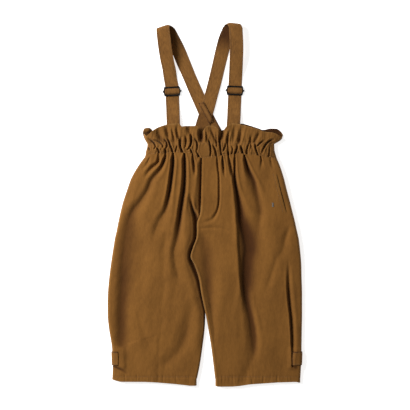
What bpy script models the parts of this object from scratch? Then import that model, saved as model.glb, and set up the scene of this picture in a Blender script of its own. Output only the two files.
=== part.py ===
"""Suspender trousers for a small child, laid flat on their back: the solids.

Sizes are in millimetres until a mesh is made. +X is the wearer's left, +Y is toward
the shoulders and +Z is up, out of the front of the trousers.
"""

import math
from typing import NamedTuple

import bmesh
import bpy
import numpy as np
from mathutils import Matrix

MM = 0.001
CLOTH = 1.5  # wall of every cloth panel
GAP = 0.3  # air between two pieces that are sewn together
SEAM_Z = 2.7  # height of the side seam, where the back's edge turns up to meet the front
SKIN_LOW = 4.2  # the lowest a fold takes the front's outside
WAIST_Y = 88.0  # seam between the legs and the casing
STITCH_Y = 113.5  # stitch line between the casing and the ruffle
TAB_TOP = -269.5
TAB_FOOT = -294.5
TAB_REACH = 17.5  # how far a hem tab runs in from the side seam
TAB_THICK = 1.5
TAB_OFF = 0.4  # air between a tab and the leg
TAB_LIFT = 2.0  # the leg stands this far off the ground where a tab runs under it
STRAP_THICK = 1.6
BAG_THICK = 1.2
SLIDER_Z = 3.2
MIDDLE_X = 0.34  # the middle of the whole garment, which becomes the origin
MIDDLE_Y = 0.86
BAR_R = 1.1
CENTRE_BAR_R = 0.8
KNOB_R = 1.7


class LegLevel(NamedTuple):
    """Where the legs' four edges are at one height up the trousers."""

    y: float
    right_side: float
    right_inner: float
    left_inner: float
    left_side: float


LEG_LEVELS = (
    LegLevel(88.0, -112.5, -5.7, -5.7, 132.5),
    LegLevel(72.0, -122.5, -5.9, -5.9, 139.0),
    LegLevel(50.0, -136.0, -6.3, -6.3, 146.0),
    LegLevel(28.0, -143.5, -6.9, -6.9, 151.5),
    LegLevel(5.5, -150.5, -7.6, -7.6, 157.5),
    LegLevel(-16.5, -156.0, -9.6, -9.6, 163.0),
    LegLevel(-30.5, -159.5, -14.5, -14.5, 166.5),
    LegLevel(-47.0, -163.0, -15.0, -15.0, 170.0),
    LegLevel(-60.0, -166.0, -16.0, -16.0, 173.0),
    LegLevel(-75.0, -168.5, -21.5, -21.5, 175.0),
    LegLevel(-94.5, -171.5, -27.0, -27.0, 177.0),
    LegLevel(-108.0, -173.5, -20.5, -20.5, 178.0),
    LegLevel(-130.5, -176.0, -12.5, -12.5, 178.5),
    LegLevel(-163.5, -179.0, -6.8, -6.8, 179.5),
    LegLevel(-200.5, -179.5, 0.6, 1.0, 179.5),
    LegLevel(-227.5, -177.0, -0.6, 6.0, 179.0),
    LegLevel(-260.0, -171.5, -4.5, 11.2, 178.5),
    LegLevel(-294.0, -170.0, -9.5, 15.5, 177.5),
    LegLevel(-324.0, -171.0, -15.5, 19.0, 176.0),
)


class Loft(NamedTuple):
    """How high the front stands, and its edge along the middle, at one height."""

    y: float
    top: float
    inner_edge: float
    right_roll: float
    left_roll: float


LOFTS = (
    Loft(88.0, 15.0, 12.8, 2.0, 2.0),
    Loft(40.0, 14.5, 12.3, 2.5, 2.0),
    Loft(5.0, 14.0, 10.5, 5.0, 2.5),
    Loft(-20.0, 13.5, 8.0, 9.0, 3.0),
    Loft(-60.0, 13.0, 6.5, 9.0, 3.0),
    Loft(-94.5, 12.5, 3.0, 9.0, 3.0),
    Loft(-200.0, 11.0, 3.0, 8.0, 3.0),
    Loft(-260.0, 10.0, 3.0, 5.0, 4.0),
    Loft(-335.0, 9.5, 3.0, 4.0, 4.0),
)


class EdgePoint(NamedTuple):
    """A point on a hem or on a ruffle's edge."""

    x: float
    y: float


HEM = (
    EdgePoint(-171.0, -322.0),
    EdgePoint(-155.5, -325.5),
    EdgePoint(-91.0, -327.5),
    EdgePoint(-44.5, -331.0),
    EdgePoint(-15.5, -332.5),
    EdgePoint(19.0, -333.0),
    EdgePoint(50.0, -334.5),
    EdgePoint(83.0, -331.0),
    EdgePoint(133.0, -327.5),
    EdgePoint(168.0, -326.5),
    EdgePoint(176.0, -328.0),
)
FRONT_RUFFLE_EDGE = (
    EdgePoint(-113.0, 133.0),
    EdgePoint(-106.5, 130.5),
    EdgePoint(-90.0, 142.0),
    EdgePoint(-70.5, 149.0),
    EdgePoint(-46.5, 149.5),
    EdgePoint(-42.5, 145.0),
    EdgePoint(-20.5, 146.5),
    EdgePoint(-13.0, 144.5),
    EdgePoint(-7.0, 131.5),
    EdgePoint(-1.0, 141.5),
    EdgePoint(6.5, 147.0),
    EdgePoint(18.5, 145.0),
    EdgePoint(32.0, 134.0),
    EdgePoint(42.5, 148.0),
    EdgePoint(51.5, 151.0),
    EdgePoint(66.5, 150.0),
    EdgePoint(98.0, 140.5),
    EdgePoint(124.0, 137.0),
    EdgePoint(144.0, 130.0),
)
BACK_RUFFLE_EDGE = (
    EdgePoint(-113.0, 138.0),
    EdgePoint(-109.0, 143.0),
    EdgePoint(-101.0, 143.0),
    EdgePoint(-93.0, 138.0),
    EdgePoint(-26.0, 137.0),
    EdgePoint(33.0, 138.5),
    EdgePoint(57.0, 148.0),
    EdgePoint(66.5, 151.0),
    EdgePoint(98.0, 143.5),
    EdgePoint(124.0, 143.5),
    EdgePoint(144.0, 132.5),
)


class Fold(NamedTuple):
    """A valley in a front leg: its start, middle and end, its half width and its depth."""

    x0: float
    y0: float
    x1: float
    y1: float
    x2: float
    y2: float
    half: float
    depth: float


RIGHT_FOLDS = (
    Fold(-101.0, 89.5, -104.0, 78.5, -115.0, 62.0, 5.6, 5.0),
    Fold(-84.0, 89.5, -88.0, 73.0, -107.5, 56.5, 4.6, 6.0),
    Fold(-72.0, 89.5, -92.0, 58.5, -127.0, 1.0, 6.0, 7.0),
    Fold(-58.5, 89.5, -64.0, 47.0, -72.5, 3.0, 5.2, 8.5),
    Fold(-72.5, 3.0, -89.0, -19.5, -101.0, -67.5, 7.4, 4.0),
    Fold(-39.0, 89.5, -42.0, 28.5, -58.5, -80.5, 5.4, 8.5),
    Fold(-22.5, 89.5, -18.5, 75.0, -19.5, 54.5, 4.0, 5.0),
    Fold(-29.0, 17.5, -23.5, -4.5, -18.5, -30.5, 4.8, 4.0),
    Fold(-142.5, 1.0, -159.5, -123.0, -158.5, -256.0, 9.2, 3.0),
    Fold(-121.0, -175.0, -111.0, -215.5, -89.0, -250.5, 7.4, 2.0),
    Fold(-28.0, -175.0, -41.0, -230.5, -61.0, -267.5, 9.2, 2.5),
    Fold(-153.0, -252.5, -144.5, -271.0, -124.0, -297.0, 5.6, 2.5),
)
LEFT_FOLDS = (
    Fold(21.5, 89.5, 24.5, 47.0, 25.5, 4.5, 4.6, 6.0),
    Fold(25.5, 4.5, 20.0, -15.5, 0.5, -32.5, 5.6, 4.0),
    Fold(30.5, 89.5, 35.0, 75.0, 37.0, 58.5, 4.2, 4.5),
    Fold(43.0, 89.5, 49.0, 69.5, 50.5, 36.0, 4.4, 5.5),
    Fold(51.5, 89.5, 59.0, -17.5, 70.0, -156.5, 6.0, 8.0),
    Fold(70.0, -156.5, 83.0, -208.0, 89.5, -267.5, 7.4, 4.0),
    Fold(70.5, 89.5, 77.5, 65.5, 94.0, 25.0, 6.5, 7.0),
    Fold(83.0, 47.0, 87.0, -17.5, 79.5, -101.0, 14.8, 3.0),
    Fold(99.5, 89.5, 103.5, 82.5, 108.0, 69.5, 4.6, 4.0),
    Fold(153.5, -49.0, 133.0, -97.0, 112.5, -152.5, 13.0, 3.0),
    Fold(156.0, -106.5, 151.0, -165.5, 161.0, -255.0, 4.4, 4.0),
    Fold(6.0, -60.0, 8.0, -104.5, 14.5, -165.5, 9.2, 3.0),
)
LEG_ROWS = (
    88.0, 83.0, 76.0, 67.0, 57.5, 46.0, 34.0, 22.0, 10.5, -1.0, -13.0, -24.0, -36.0, -48.0, -60.0,
    -75.0, -94.5, -108.0, -120.0, -136.0, -155.0, -175.0, -196.0, -216.0, -238.0, -258.0,
    TAB_TOP, -282.0, TAB_FOOT, -306.0, -318.0,
)  # fmt: skip
SIDE_STEPS = (0.0, 0.7, 2.5, 6.0, 11.0, 13.0, 17.5, 22.5)  # columns in from the side seam
INNER_STEPS = (4.0, 1.2, 0.0)  # columns out to the middle seam
MIDDLE_COLUMNS = 22
BACK_SIDE_STEPS = (0.0, 0.8, 2.7, 9.0, 17.5, 26.0)
BACK_INNER_STEPS = (2.7, 0.8, 0.0)
BACK_MIDDLE_COLUMNS = 3
POCKET_TOP = 57.5
POCKET_FOOT = -13.0
POCKET_COLUMN = 4  # the slit is between this side step and the next
BAG_TOP = 67.0
BAG_FOOT = -24.0


class BandLevel(NamedTuple):
    """Where the waist casing's two ends are at one height."""

    y: float
    right: float
    left: float
    gathers: float


BAND_LEVELS = (
    BandLevel(WAIST_Y + GAP, -112.3, 132.3, 0.7),
    BandLevel(92.0, -110.5, 131.3, 1.0),
    BandLevel(100.5, -109.2, 128.8, 0.8),
    BandLevel(108.0, -107.0, 128.2, 1.0),
    BandLevel(STITCH_Y, -106.5, 127.9, 1.1),
)
BAND_TOP = 15.0
GATHER_DEPTH = 4.0
GATHER_HALF = 2.6
GATHERS = (
    -101.0, -92.0, -84.0, -77.0, -69.0, -58.5, -49.0, -39.0, -31.0, -22.5, -15.0, 9.5,
    21.5, 30.5, 43.0, 51.5, 61.0, 70.5, 77.5, 85.0, 93.0, 99.5, 108.0, 118.0,
)  # fmt: skip
RUFFLE_STEPS = (0.25, 0.6, 1.0)
FLUTE_DEPTH = 4.5
FLUTES = (-99.0, -78.0, -60.0, -42.5, -26.0, -7.0, 12.0, 32.0, 46.0, 60.0, 76.0, 91.0, 107.0, 125.0)


class StrapRow(NamedTuple):
    """The two edges of a strap at one place, and the height of its middle layer."""

    left_x: float
    left_y: float
    right_x: float
    right_y: float
    z: float


FOLD_TOP_Z = 14.6
FLAT_Z = 0.8
INSIDE_Z = 6.4
RIGHT_STRAP_FRONT = (
    StrapRow(-69.5, 102.5, -44.5, 102.5, INSIDE_Z),
    StrapRow(-71.0, 153.5, -46.0, 153.5, INSIDE_Z),
    StrapRow(-71.5, 166.0, -46.5, 166.0, 4.6),
    StrapRow(-72.0, 180.0, -47.0, 180.0, 1.4),
    StrapRow(-72.5, 190.0, -47.5, 190.0, FLAT_Z),
    StrapRow(-74.0, 221.5, -49.0, 221.5, FLAT_Z),
    StrapRow(-76.5, 235.0, -51.5, 235.0, 1.6),
    StrapRow(-78.5, 250.0, -53.5, 250.0, 6.4),
    StrapRow(-82.0, 266.0, -57.0, 266.0, 11.4),
    StrapRow(-86.0, 290.0, -61.0, 290.0, FOLD_TOP_Z),
    StrapRow(-89.2, 317.3, -65.4, 326.1, FOLD_TOP_Z),
)
RIGHT_STRAP_BACK = (
    StrapRow(-81.2, 319.2, -57.4, 327.1, FLAT_Z),
    StrapRow(-66.0, 294.0, -39.5, 294.0, FLAT_Z),
    StrapRow(-53.5, 264.5, -26.5, 264.5, FLAT_Z),
    StrapRow(-40.5, 235.0, -14.5, 235.0, FLAT_Z),
    StrapRow(-28.0, 205.5, -1.3, 205.5, FLAT_Z),
    StrapRow(-15.0, 176.0, 11.5, 176.0, FLAT_Z),
    StrapRow(-3.6, 148.5, 23.0, 148.5, FLAT_Z),
    StrapRow(-2.0, 144.8, 24.6, 144.8, 1.9),
    StrapRow(-0.7, 141.8, 25.9, 141.8, 2.9),
    StrapRow(14.0, 102.5, 40.0, 102.5, 2.9),
)
LEFT_STRAP_FRONT = (
    StrapRow(38.5, 102.5, 63.5, 102.5, INSIDE_Z),
    StrapRow(40.2, 153.5, 65.2, 153.5, INSIDE_Z),
    StrapRow(41.0, 166.0, 66.0, 166.0, 4.6),
    StrapRow(41.5, 180.0, 66.5, 180.0, 1.4),
    StrapRow(42.0, 190.0, 67.0, 190.0, FLAT_Z),
    StrapRow(43.2, 223.5, 68.2, 223.5, FLAT_Z),
    StrapRow(43.8, 235.0, 68.8, 235.0, 1.6),
    StrapRow(44.5, 250.0, 69.5, 250.0, 6.4),
    StrapRow(45.0, 266.0, 70.0, 266.0, 11.4),
    StrapRow(45.7, 290.0, 70.7, 290.0, FOLD_TOP_Z),
    StrapRow(44.2, 327.8, 69.2, 326.2, FOLD_TOP_Z),
)
LEFT_STRAP_BACK = (
    StrapRow(32.8, 329.0, 57.6, 325.4, FLAT_Z),
    StrapRow(26.6, 311.0, 52.2, 311.0, FLAT_Z),
    StrapRow(21.3, 294.0, 47.2, 294.0, FLAT_Z),
    StrapRow(14.0, 264.5, 39.5, 264.5, FLAT_Z),
    StrapRow(7.0, 235.0, 32.5, 235.0, 1.0),
    StrapRow(2.2, 216.0, 27.7, 216.0, 2.8),
    StrapRow(-0.7, 205.5, 24.8, 205.5, 2.8),
    StrapRow(-8.5, 176.0, 17.0, 176.0, 2.8),
    StrapRow(-15.7, 148.5, 9.8, 148.5, 2.8),
    StrapRow(-16.7, 144.8, 8.8, 144.8, 3.9),
    StrapRow(-17.5, 141.8, 8.0, 141.8, 4.9),
    StrapRow(-27.5, 102.5, -2.0, 102.5, 4.9),
)
KEEPER_HEAD = EdgePoint(-9.6, 195.0)
KEEPER_FOOT = EdgePoint(12.6, 151.7)
KEEPER_HALF = 4.1
KEEPER_LOW_Z = 2.55
KEEPER_FOOT_Z = 3.4
KEEPER_HIGH_Z = 4.6
KEEPER_THICK = 1.1


class Slider(NamedTuple):
    """A wire slider's middle, and how far the strap under it leans from straight up."""

    x: float
    y: float
    lean: float


RIGHT_SLIDER = Slider(-61.0, 211.0, math.radians(3.0))
LEFT_SLIDER = Slider(55.2, 212.5, math.radians(-2.3))
SLIDER_OUTLINE = ((-14.2, 7.4), (14.2, 7.4), (15.6, 0.0), (14.2, -7.4), (-14.2, -7.4), (-15.6, 0.0))
HUMP_STEPS = (-9.5, -6.5, -4.6, -3.2, -1.8, -0.6, 0.6, 1.8, 3.2, 4.6, 6.5, 9.5)
HUMP_HEIGHT = 4.5
HUMP_HALF = 3.6

CLOTH_COLOUR = (0.23, 0.10, 0.024, 1.0)
METAL_COLOUR = (0.02, 0.02, 0.022, 1.0)


def smooth(value):
    """Ease a number from 0 to 1."""
    value = np.clip(value, 0.0, 1.0)
    return value * value * (3.0 - 2.0 * value)


def at_level(table, y, field):
    """Read one column of a table that runs down the trousers."""
    ys = [row.y for row in reversed(table)]
    values = [getattr(row, field) for row in reversed(table)]
    return np.interp(y, ys, values)


def edge_y(edge, x):
    """Height of an edge at x."""
    return np.interp(x, [point.x for point in edge], [point.y for point in edge])


def roll(distance, radius):
    """A quarter round that rises from 0 to 1 over the radius."""
    rest = 1.0 - np.clip(distance / radius, 0.0, 1.0)
    return np.sqrt(1.0 - rest * rest)


def fold_depth(folds, x, y):
    """How far the folds take the cloth down."""
    depth = np.zeros_like(x)
    for fold in folds:
        t = np.linspace(0.0, 1.0, 13)
        path_x = fold.x0 * (1 - t) * (1 - 2 * t) + 4 * fold.x1 * t * (1 - t) + fold.x2 * t * (2 * t - 1)
        path_y = fold.y0 * (1 - t) * (1 - 2 * t) + 4 * fold.y1 * t * (1 - t) + fold.y2 * t * (2 * t - 1)
        near = np.hypot(x[..., None] - path_x, y[..., None] - path_y)
        place = np.argmin(near, axis=-1)
        low = np.clip(place - 1, 0, len(t) - 2)
        high = np.clip(place, 0, len(t) - 2)
        best = np.full(x.shape, 1e9)
        along = np.zeros_like(x)
        for start in (low, high):
            ax, ay = path_x[start], path_y[start]
            dx, dy = path_x[start + 1] - ax, path_y[start + 1] - ay
            share = np.clip(((x - ax) * dx + (y - ay) * dy) / (dx * dx + dy * dy), 0.0, 1.0)
            away = np.hypot(x - ax - share * dx, y - ay - share * dy)
            along = np.where(away < best, (start + share) / (len(t) - 1), along)
            best = np.minimum(best, away)
        fade = smooth((1.0 - along) / 0.35)
        if fold.y0 > WAIST_Y:
            fade = fade * (0.5 + 0.5 * smooth((WAIST_Y - y) / 9.0))
        else:
            fade = fade * smooth(along / 0.2)
        depth += fold.depth * np.exp(-((best / fold.half) ** 2)) * fade
    return depth


def tab_lift(side_distance, y):
    """How far the leg stands off the ground over a hem tab."""
    along = smooth((y - TAB_FOOT + 11.0) / 9.0) * smooth((TAB_TOP + 11.0 - y) / 9.0)
    return TAB_LIFT * along * smooth((TAB_REACH + 10.0 - side_distance) / 8.0)


def normals_of(points):
    """Unit normals of a grid whose rows run down and columns run to the left of the wearer."""
    across = np.gradient(points, axis=1)
    down = np.gradient(points, axis=0)
    normals = np.cross(down, across)
    return normals / np.linalg.norm(normals, axis=-1, keepdims=True)


def flatten_rows(normals, rows):
    """Keep the end rows' offsets level with their seam."""
    for row in rows:
        normals[row, :, 1] = 0.0
        normals[row] /= np.linalg.norm(normals[row], axis=-1, keepdims=True)


def make_object(name, points, faces, colour):
    """Make a closed mesh object from points in millimetres."""
    bm = bmesh.new()
    verts = [bm.verts.new([c * MM for c in point]) for point in points]
    for face in faces:
        bm.faces.new([verts[i] for i in face])
    bmesh.ops.recalc_face_normals(bm, faces=bm.faces)
    mesh = bpy.data.meshes.new(name)
    bm.to_mesh(mesh)
    bm.free()
    obj = bpy.data.objects.new(name, mesh)
    bpy.context.scene.collection.objects.link(obj)
    add_material(obj, colour)
    return obj


def add_material(obj, colour):
    """Give an object a plain Principled material of its own."""
    material = bpy.data.materials.new(f"{obj.name}_material")
    material.use_nodes = True
    shader = material.node_tree.nodes["Principled BSDF"]
    shader.inputs["Base Color"].default_value = colour
    shader.inputs["Roughness"].default_value = 0.4 if colour is METAL_COLOUR else 0.9
    shader.inputs["Metallic"].default_value = 0.6 if colour is METAL_COLOUR else 0.0
    obj.data.materials.clear()
    obj.data.materials.append(material)


def make_wall(name, points, normals, upper, lower, hole=()):
    """Close a sheet between two offsets of one grid, leaving out the cells in hole."""
    rows, columns = points.shape[:2]
    layers = [points + normals * upper, points + normals * lower]
    flat = np.concatenate([layer.reshape(-1, 3) for layer in layers])
    size = rows * columns
    faces = []
    edges = {}
    for i in range(rows - 1):
        for j in range(columns - 1):
            if (i, j) in hole:
                continue
            a, b = i * columns + j, (i + 1) * columns + j
            c, d = b + 1, a + 1
            for corners in ((a, b, c), (a, c, d)):
                faces.append(corners)
                faces.append(tuple(size + k for k in reversed(corners)))
            for edge in ((a, b), (b, c), (c, d), (d, a)):
                key = (min(edge), max(edge))
                edges[key] = None if key in edges else edge
    for edge in edges.values():
        if edge is not None:
            a, b = edge
            faces.append((b, a, size + a))
            faces.append((b, size + a, size + b))
    used = sorted({k for face in faces for k in face})
    place = {k: n for n, k in enumerate(used)}
    faces = [tuple(place[k] for k in face) for face in faces]
    return make_object(name, flat[used], faces, CLOTH_COLOUR)


def columns_between(side_steps, inner_steps, middle, width):
    """Distances of the columns from the side seam, at one width."""
    first, last = side_steps[-1], width - inner_steps[0]
    between = [first + (last - first) * k / (middle + 1) for k in range(1, middle + 1)]
    return list(side_steps) + between + [width - step for step in inner_steps]


def leg_plan(is_left, side_steps, inner_steps, middle, rows):
    """The x and y of a leg's grid and each point's distance from both of its edges."""
    side_field = "left_side" if is_left else "right_side"
    inner_field = "left_inner" if is_left else "right_inner"
    plan = []
    for y in list(rows) + [None]:
        level = -326.0 if y is None else y
        side = float(at_level(LEG_LEVELS, level, side_field))
        inner = float(at_level(LEG_LEVELS, level, inner_field)) + (GAP / 2 if is_left else -GAP / 2)
        width = abs(side - inner)
        steps = columns_between(side_steps, inner_steps, middle, width)
        line = []
        for step in steps:
            x = side - step if is_left else side + step
            line.append((x, float(edge_y(HEM, x)) if y is None else y, step, width - step))
        plan.append(line[::-1] if is_left else line)
    return np.array(plan)


def front_leg_grid(is_left):
    """Outside of a leg's front panel."""
    plan = leg_plan(is_left, SIDE_STEPS, INNER_STEPS, MIDDLE_COLUMNS, LEG_ROWS)
    x, y, side, inner = (plan[..., k] for k in range(4))
    window = roll(side, 14.0) * smooth(inner / 9.0)
    top = at_level(LOFTS, y, "top")
    depth = fold_depth(LEFT_FOLDS if is_left else RIGHT_FOLDS, x, y) * window
    sway = 0.5 * np.sin(x / 19.0 + y / 37.0) + 0.4 * np.sin(x / 11.0 - y / 29.0 + 1.0)
    z = top - depth + sway * window
    z = SKIN_LOW + 0.6 * np.log1p(np.exp((z - SKIN_LOW) / 0.6))
    z = SEAM_Z + GAP + (z - SEAM_Z - GAP) * (0.45 * roll(side, 4.0) + 0.55 * smooth(side / 26.0))
    edge = at_level(LOFTS, y, "inner_edge")
    radius = at_level(LOFTS, y, "left_roll" if is_left else "right_roll")
    z = edge + (z - edge) * roll(inner, radius)
    z = z + tab_lift(side, y)
    points = np.stack([x, y, z], axis=-1)
    normals = normals_of(points)
    outward = 1.0 if is_left else -1.0
    normals[:, -1 if is_left else 0] = (outward, 0.0, 0.0)
    normals[:, 0 if is_left else -1] = (-outward, 0.0, 0.0)
    flatten_rows(normals, (0, -1))
    return points, normals


def back_leg_grid(is_left):
    """Underside of a leg's back panel, with its seam edges turned up."""
    plan = leg_plan(is_left, BACK_SIDE_STEPS, BACK_INNER_STEPS, BACK_MIDDLE_COLUMNS, LEG_ROWS)
    x, y, side, inner = (plan[..., k] for k in range(4))
    seam = smooth((-75.0 - y) / 19.5)
    z = SEAM_Z * (1.0 - roll(side, SEAM_Z)) + SEAM_Z * seam * (1.0 - roll(inner, SEAM_Z))
    z = z + tab_lift(side, y)
    points = np.stack([x, y, z], axis=-1)
    normals = -normals_of(points)
    outward = 1.0 if is_left else -1.0
    normals[:, -1 if is_left else 0] = (outward, 0.0, 0.0)
    column = 0 if is_left else -1
    normals[:, column] = np.stack([-outward * seam[:, 0], 0 * seam[:, 0], seam[:, 0] - 1.0], axis=-1)
    normals[:, column] /= np.linalg.norm(normals[:, column], axis=-1, keepdims=True)
    flatten_rows(normals, (0, -1))
    return points, normals


def make_tab(name, front, back, is_left):
    """A hem tab: the leg's own points at the side seam, moved out, front and back."""
    first = LEG_ROWS.index(TAB_TOP)
    rows = slice(first, first + 3)
    reach = SIDE_STEPS.index(TAB_REACH) + 1
    back_reach = BACK_SIDE_STEPS.index(TAB_REACH) + 1
    strips = []
    for k in range(2):
        upper = front[k][rows, -reach:] if is_left else front[k][rows, :reach][:, ::-1]
        lower = back[k][rows, -back_reach:][:, ::-1] if is_left else back[k][rows, :back_reach]
        strips.append(np.concatenate([upper[:, :-1], lower], axis=1))
    points, normals = strips
    make_wall(name, points, normals, TAB_OFF + TAB_THICK, TAB_OFF)


def band_columns():
    """Shares of the way across the casing, closer together at the gathers."""
    low, high = BAND_LEVELS[2].right, BAND_LEVELS[2].left
    marks = [low + step for step in (0.0, 0.7, 2.5, 5.0)]
    marks += [high - step for step in (5.0, 2.5, 0.7, 0.0)]
    for centre in GATHERS:
        marks += [centre - 2.3, centre, centre + 2.3]
    marks = sorted(marks)
    extra = [(a + b) / 2 for a, b in zip(marks, marks[1:]) if b - a > 5.5]
    return np.array([(mark - low) / (high - low) for mark in sorted(marks + extra)])


def band_grid(shares, ruffle_edge, gathers):
    """The x, y, distance from the ends, and height share of a casing and its ruffle."""
    rows = []
    for level in BAND_LEVELS:
        x = level.right + shares * (level.left - level.right)
        side = np.minimum(shares, 1.0 - shares) * (level.left - level.right)
        rows.append(np.stack([x, 0 * x + level.y, side, 0 * x + level.gathers, 0 * x], axis=-1))
    low, high = ruffle_edge[0].x, ruffle_edge[-1].x
    bottom = rows[-1]
    end_x = low + shares * (high - low)
    end_y = edge_y(ruffle_edge, end_x)
    for step in RUFFLE_STEPS:
        x = bottom[:, 0] + (end_x - bottom[:, 0]) * math.sin(step * math.pi / 2)
        y = STITCH_Y + (end_y - STITCH_Y) * step
        side = np.minimum(shares, 1.0 - shares) * (x[-1] - x[0])
        rows.append(np.stack([x, y, side, 0 * x + gathers * (1.0 - step), 0 * x + step], axis=-1))
    return np.array(rows)[::-1]


def ripple(x, centres, half):
    """A row of rounded valleys, each 1 deep."""
    near = np.min(np.abs(x[..., None] - np.array(centres)), axis=-1)
    return np.exp(-((near / half) ** 2))


def waist_front_grid():
    """Outside of the front casing and its ruffle."""
    shares = band_columns()
    plan = band_grid(shares, FRONT_RUFFLE_EDGE, 1.0)
    x, y, side, gather, flute = (plan[..., k] for k in range(5))
    level = BAND_LEVELS[2]
    casing_x = np.broadcast_to(level.right + shares * (level.left - level.right), x.shape)
    window = roll(side, 10.0)
    z = BAND_TOP - GATHER_DEPTH * gather * ripple(casing_x, GATHERS, GATHER_HALF) * window
    z = z - FLUTE_DEPTH * flute * ripple(x, FLUTES, 5.5) * window
    z = z + 1.5 * flute * window
    z = SEAM_Z + GAP + (z - SEAM_Z - GAP) * (0.45 * roll(side, 4.0) + 0.55 * smooth(side / 26.0))
    points = np.stack([x, y, z], axis=-1)
    normals = normals_of(points)
    normals[:, 0] = (-1.0, 0.0, 0.0)
    normals[:, -1] = (1.0, 0.0, 0.0)
    flatten_rows(normals, (0, -1))
    return points, normals


def waist_back_grid():
    """Underside of the back casing and its ruffle."""
    width = BAND_LEVELS[2].left - BAND_LEVELS[2].right
    steps = [0.0, 0.8, 2.7, 6.0]
    middle = list(np.linspace(12.0, width - 12.0, 30))
    shares = np.array(steps + middle + [width - step for step in reversed(steps)]) / width
    plan = band_grid(shares, BACK_RUFFLE_EDGE, 0.0)
    x, y, side = (plan[..., k] for k in range(3))
    z = SEAM_Z * (1.0 - roll(side, SEAM_Z))
    points = np.stack([x, y, z], axis=-1)
    normals = -normals_of(points)
    normals[:, 0] = (-1.0, 0.0, 0.0)
    normals[:, -1] = (1.0, 0.0, 0.0)
    flatten_rows(normals, (0, -1))
    return points, normals


def as_points(rows):
    """Left and right edge points of a strap's rows."""
    return [((row.left_x, row.left_y, row.z), (row.right_x, row.right_y, row.z)) for row in rows]


def shoulder_fold(start, end, steps=9):
    """Rows that carry a strap over from its front part to its back part."""
    radius = (start.z - end.z) / 2
    ends = as_points((start, end))
    ahead = np.array([-(start.right_y - start.left_y), start.right_x - start.left_x])
    ahead /= np.hypot(*ahead)
    rows = []
    for k in range(1, steps):
        angle = math.pi * k / steps
        share = angle / math.pi
        pair = []
        for side in range(2):
            flat = np.array(ends[0][side][:2]) * (1 - share) + np.array(ends[1][side][:2]) * share
            flat = flat + ahead * radius * math.sin(angle)
            pair.append((flat[0], flat[1], start.z - radius * (1 - math.cos(angle))))
        rows.append(tuple(pair))
    return rows


def hump_rows(rows, slider):
    """A strap's front rows, with rows added where it rises over the slider's middle bar."""
    points = np.array(as_points(rows))
    before = [row for row in points if row[0][1] < slider.y - 12.0]
    after = [row for row in points if row[0][1] >= slider.y + 10.0]
    ys = points[:, 0, 1]
    humps = []
    for step in HUMP_STEPS:
        y = slider.y + step
        z = np.interp(y, ys, points[:, 0, 2]) + HUMP_HEIGHT * math.exp(-((step / HUMP_HALF) ** 2))
        pair = []
        for side in range(2):
            reach = np.interp(y, ys, points[:, side, 0])
            tilt = (-1 if side == 0 else 1) * 12.5 * math.sin(slider.lean)
            pair.append((reach, y + tilt, z))
        humps.append(np.array(pair))
    return before + humps + after


def ribbon_grid(rows):
    """Middle layer of a strap and its normals."""
    points = np.array([[row[1], row[0]] for row in rows], dtype=float)
    across = points[:, 0] - points[:, 1]
    along = np.gradient(points.mean(axis=1), axis=0)
    normal = np.cross(across, along)
    normal /= np.linalg.norm(normal, axis=-1, keepdims=True)
    return points, np.repeat(normal[:, None], 2, axis=1)


def make_strap(name, front, back, slider):
    """One strap: inside the front waist, through its slider, over the shoulder, into the back."""
    rows = list(hump_rows(front, slider)) + shoulder_fold(front[-1], back[0]) + as_points(back)
    points, normals = ribbon_grid(rows)
    make_wall(name, points, normals, STRAP_THICK / 2, -STRAP_THICK / 2)


def make_keeper(name):
    """The short strip over the place where the straps cross, its rows along the upper strap."""
    upper, lower = LEFT_STRAP_BACK[6], LEFT_STRAP_BACK[8]
    strap = np.array([upper.left_x - lower.left_x, upper.left_y - lower.left_y])
    strap /= np.hypot(*strap)
    across = np.array([strap[1], -strap[0]])
    width = float(np.dot(across, (upper.right_x - upper.left_x, 0.0)))
    head, foot = np.array(KEEPER_HEAD), np.array(KEEPER_FOOT)
    along = (foot - head) / np.hypot(*(foot - head))
    beside = np.array([-along[1], along[0]]) * KEEPER_HALF
    corner = np.array([lower.left_x, lower.left_y])
    steps = (-4.2, -2.8, -0.7, 1.0, width / 2, width - 1.0, width + 0.7, width + 2.6)
    rows = []
    for step in steps:
        z = KEEPER_LOW_Z if step < -2.0 else KEEPER_FOOT_Z if step > width + 2.0 else KEEPER_HIGH_Z
        pair = []
        for edge in (head - beside, head + beside):
            reach = (step - np.dot(across, edge - corner)) / np.dot(across, along)
            place = edge + along * reach
            pair.append((place[0], place[1], z))
        rows.append(tuple(pair))
    points, normals = ribbon_grid(rows)
    make_wall(name, points, normals, KEEPER_THICK / 2, -KEEPER_THICK / 2)


def wire(name, path, radius, closed):
    """A round wire along a flat path, with eight sides."""
    path = np.array(path, dtype=float)
    count = len(path)
    points, faces = [], []
    for i in range(count):
        before = path[i - 1] if closed or i > 0 else path[i]
        after = path[(i + 1) % count] if closed or i < count - 1 else path[i]
        come = path[i] - before if np.any(path[i] != before) else after - path[i]
        go = after - path[i] if np.any(after != path[i]) else come
        come, go = come / np.linalg.norm(come), go / np.linalg.norm(go)
        side = np.cross(come + go, (0.0, 0.0, 1.0))
        side /= np.linalg.norm(side)
        stretch = 1.0 / max(0.5, abs(np.dot(side, np.cross(go, (0.0, 0.0, 1.0)))))
        for k in range(8):
            angle = 2 * math.pi * (k + 0.5) / 8
            points.append(path[i] + side * radius * stretch * math.cos(angle) + (0, 0, radius * math.sin(angle)))
    for i in range(count if closed else count - 1):
        for k in range(8):
            a, b = i * 8 + k, i * 8 + (k + 1) % 8
            c, d = (i + 1) % count * 8 + (k + 1) % 8, (i + 1) % count * 8 + k
            faces.append((a, b, c, d))
    if not closed:
        faces.append(tuple(range(8)))
        faces.append(tuple((count - 1) * 8 + k for k in range(8)))
    return make_object(name, points, faces, METAL_COLOUR)


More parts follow.
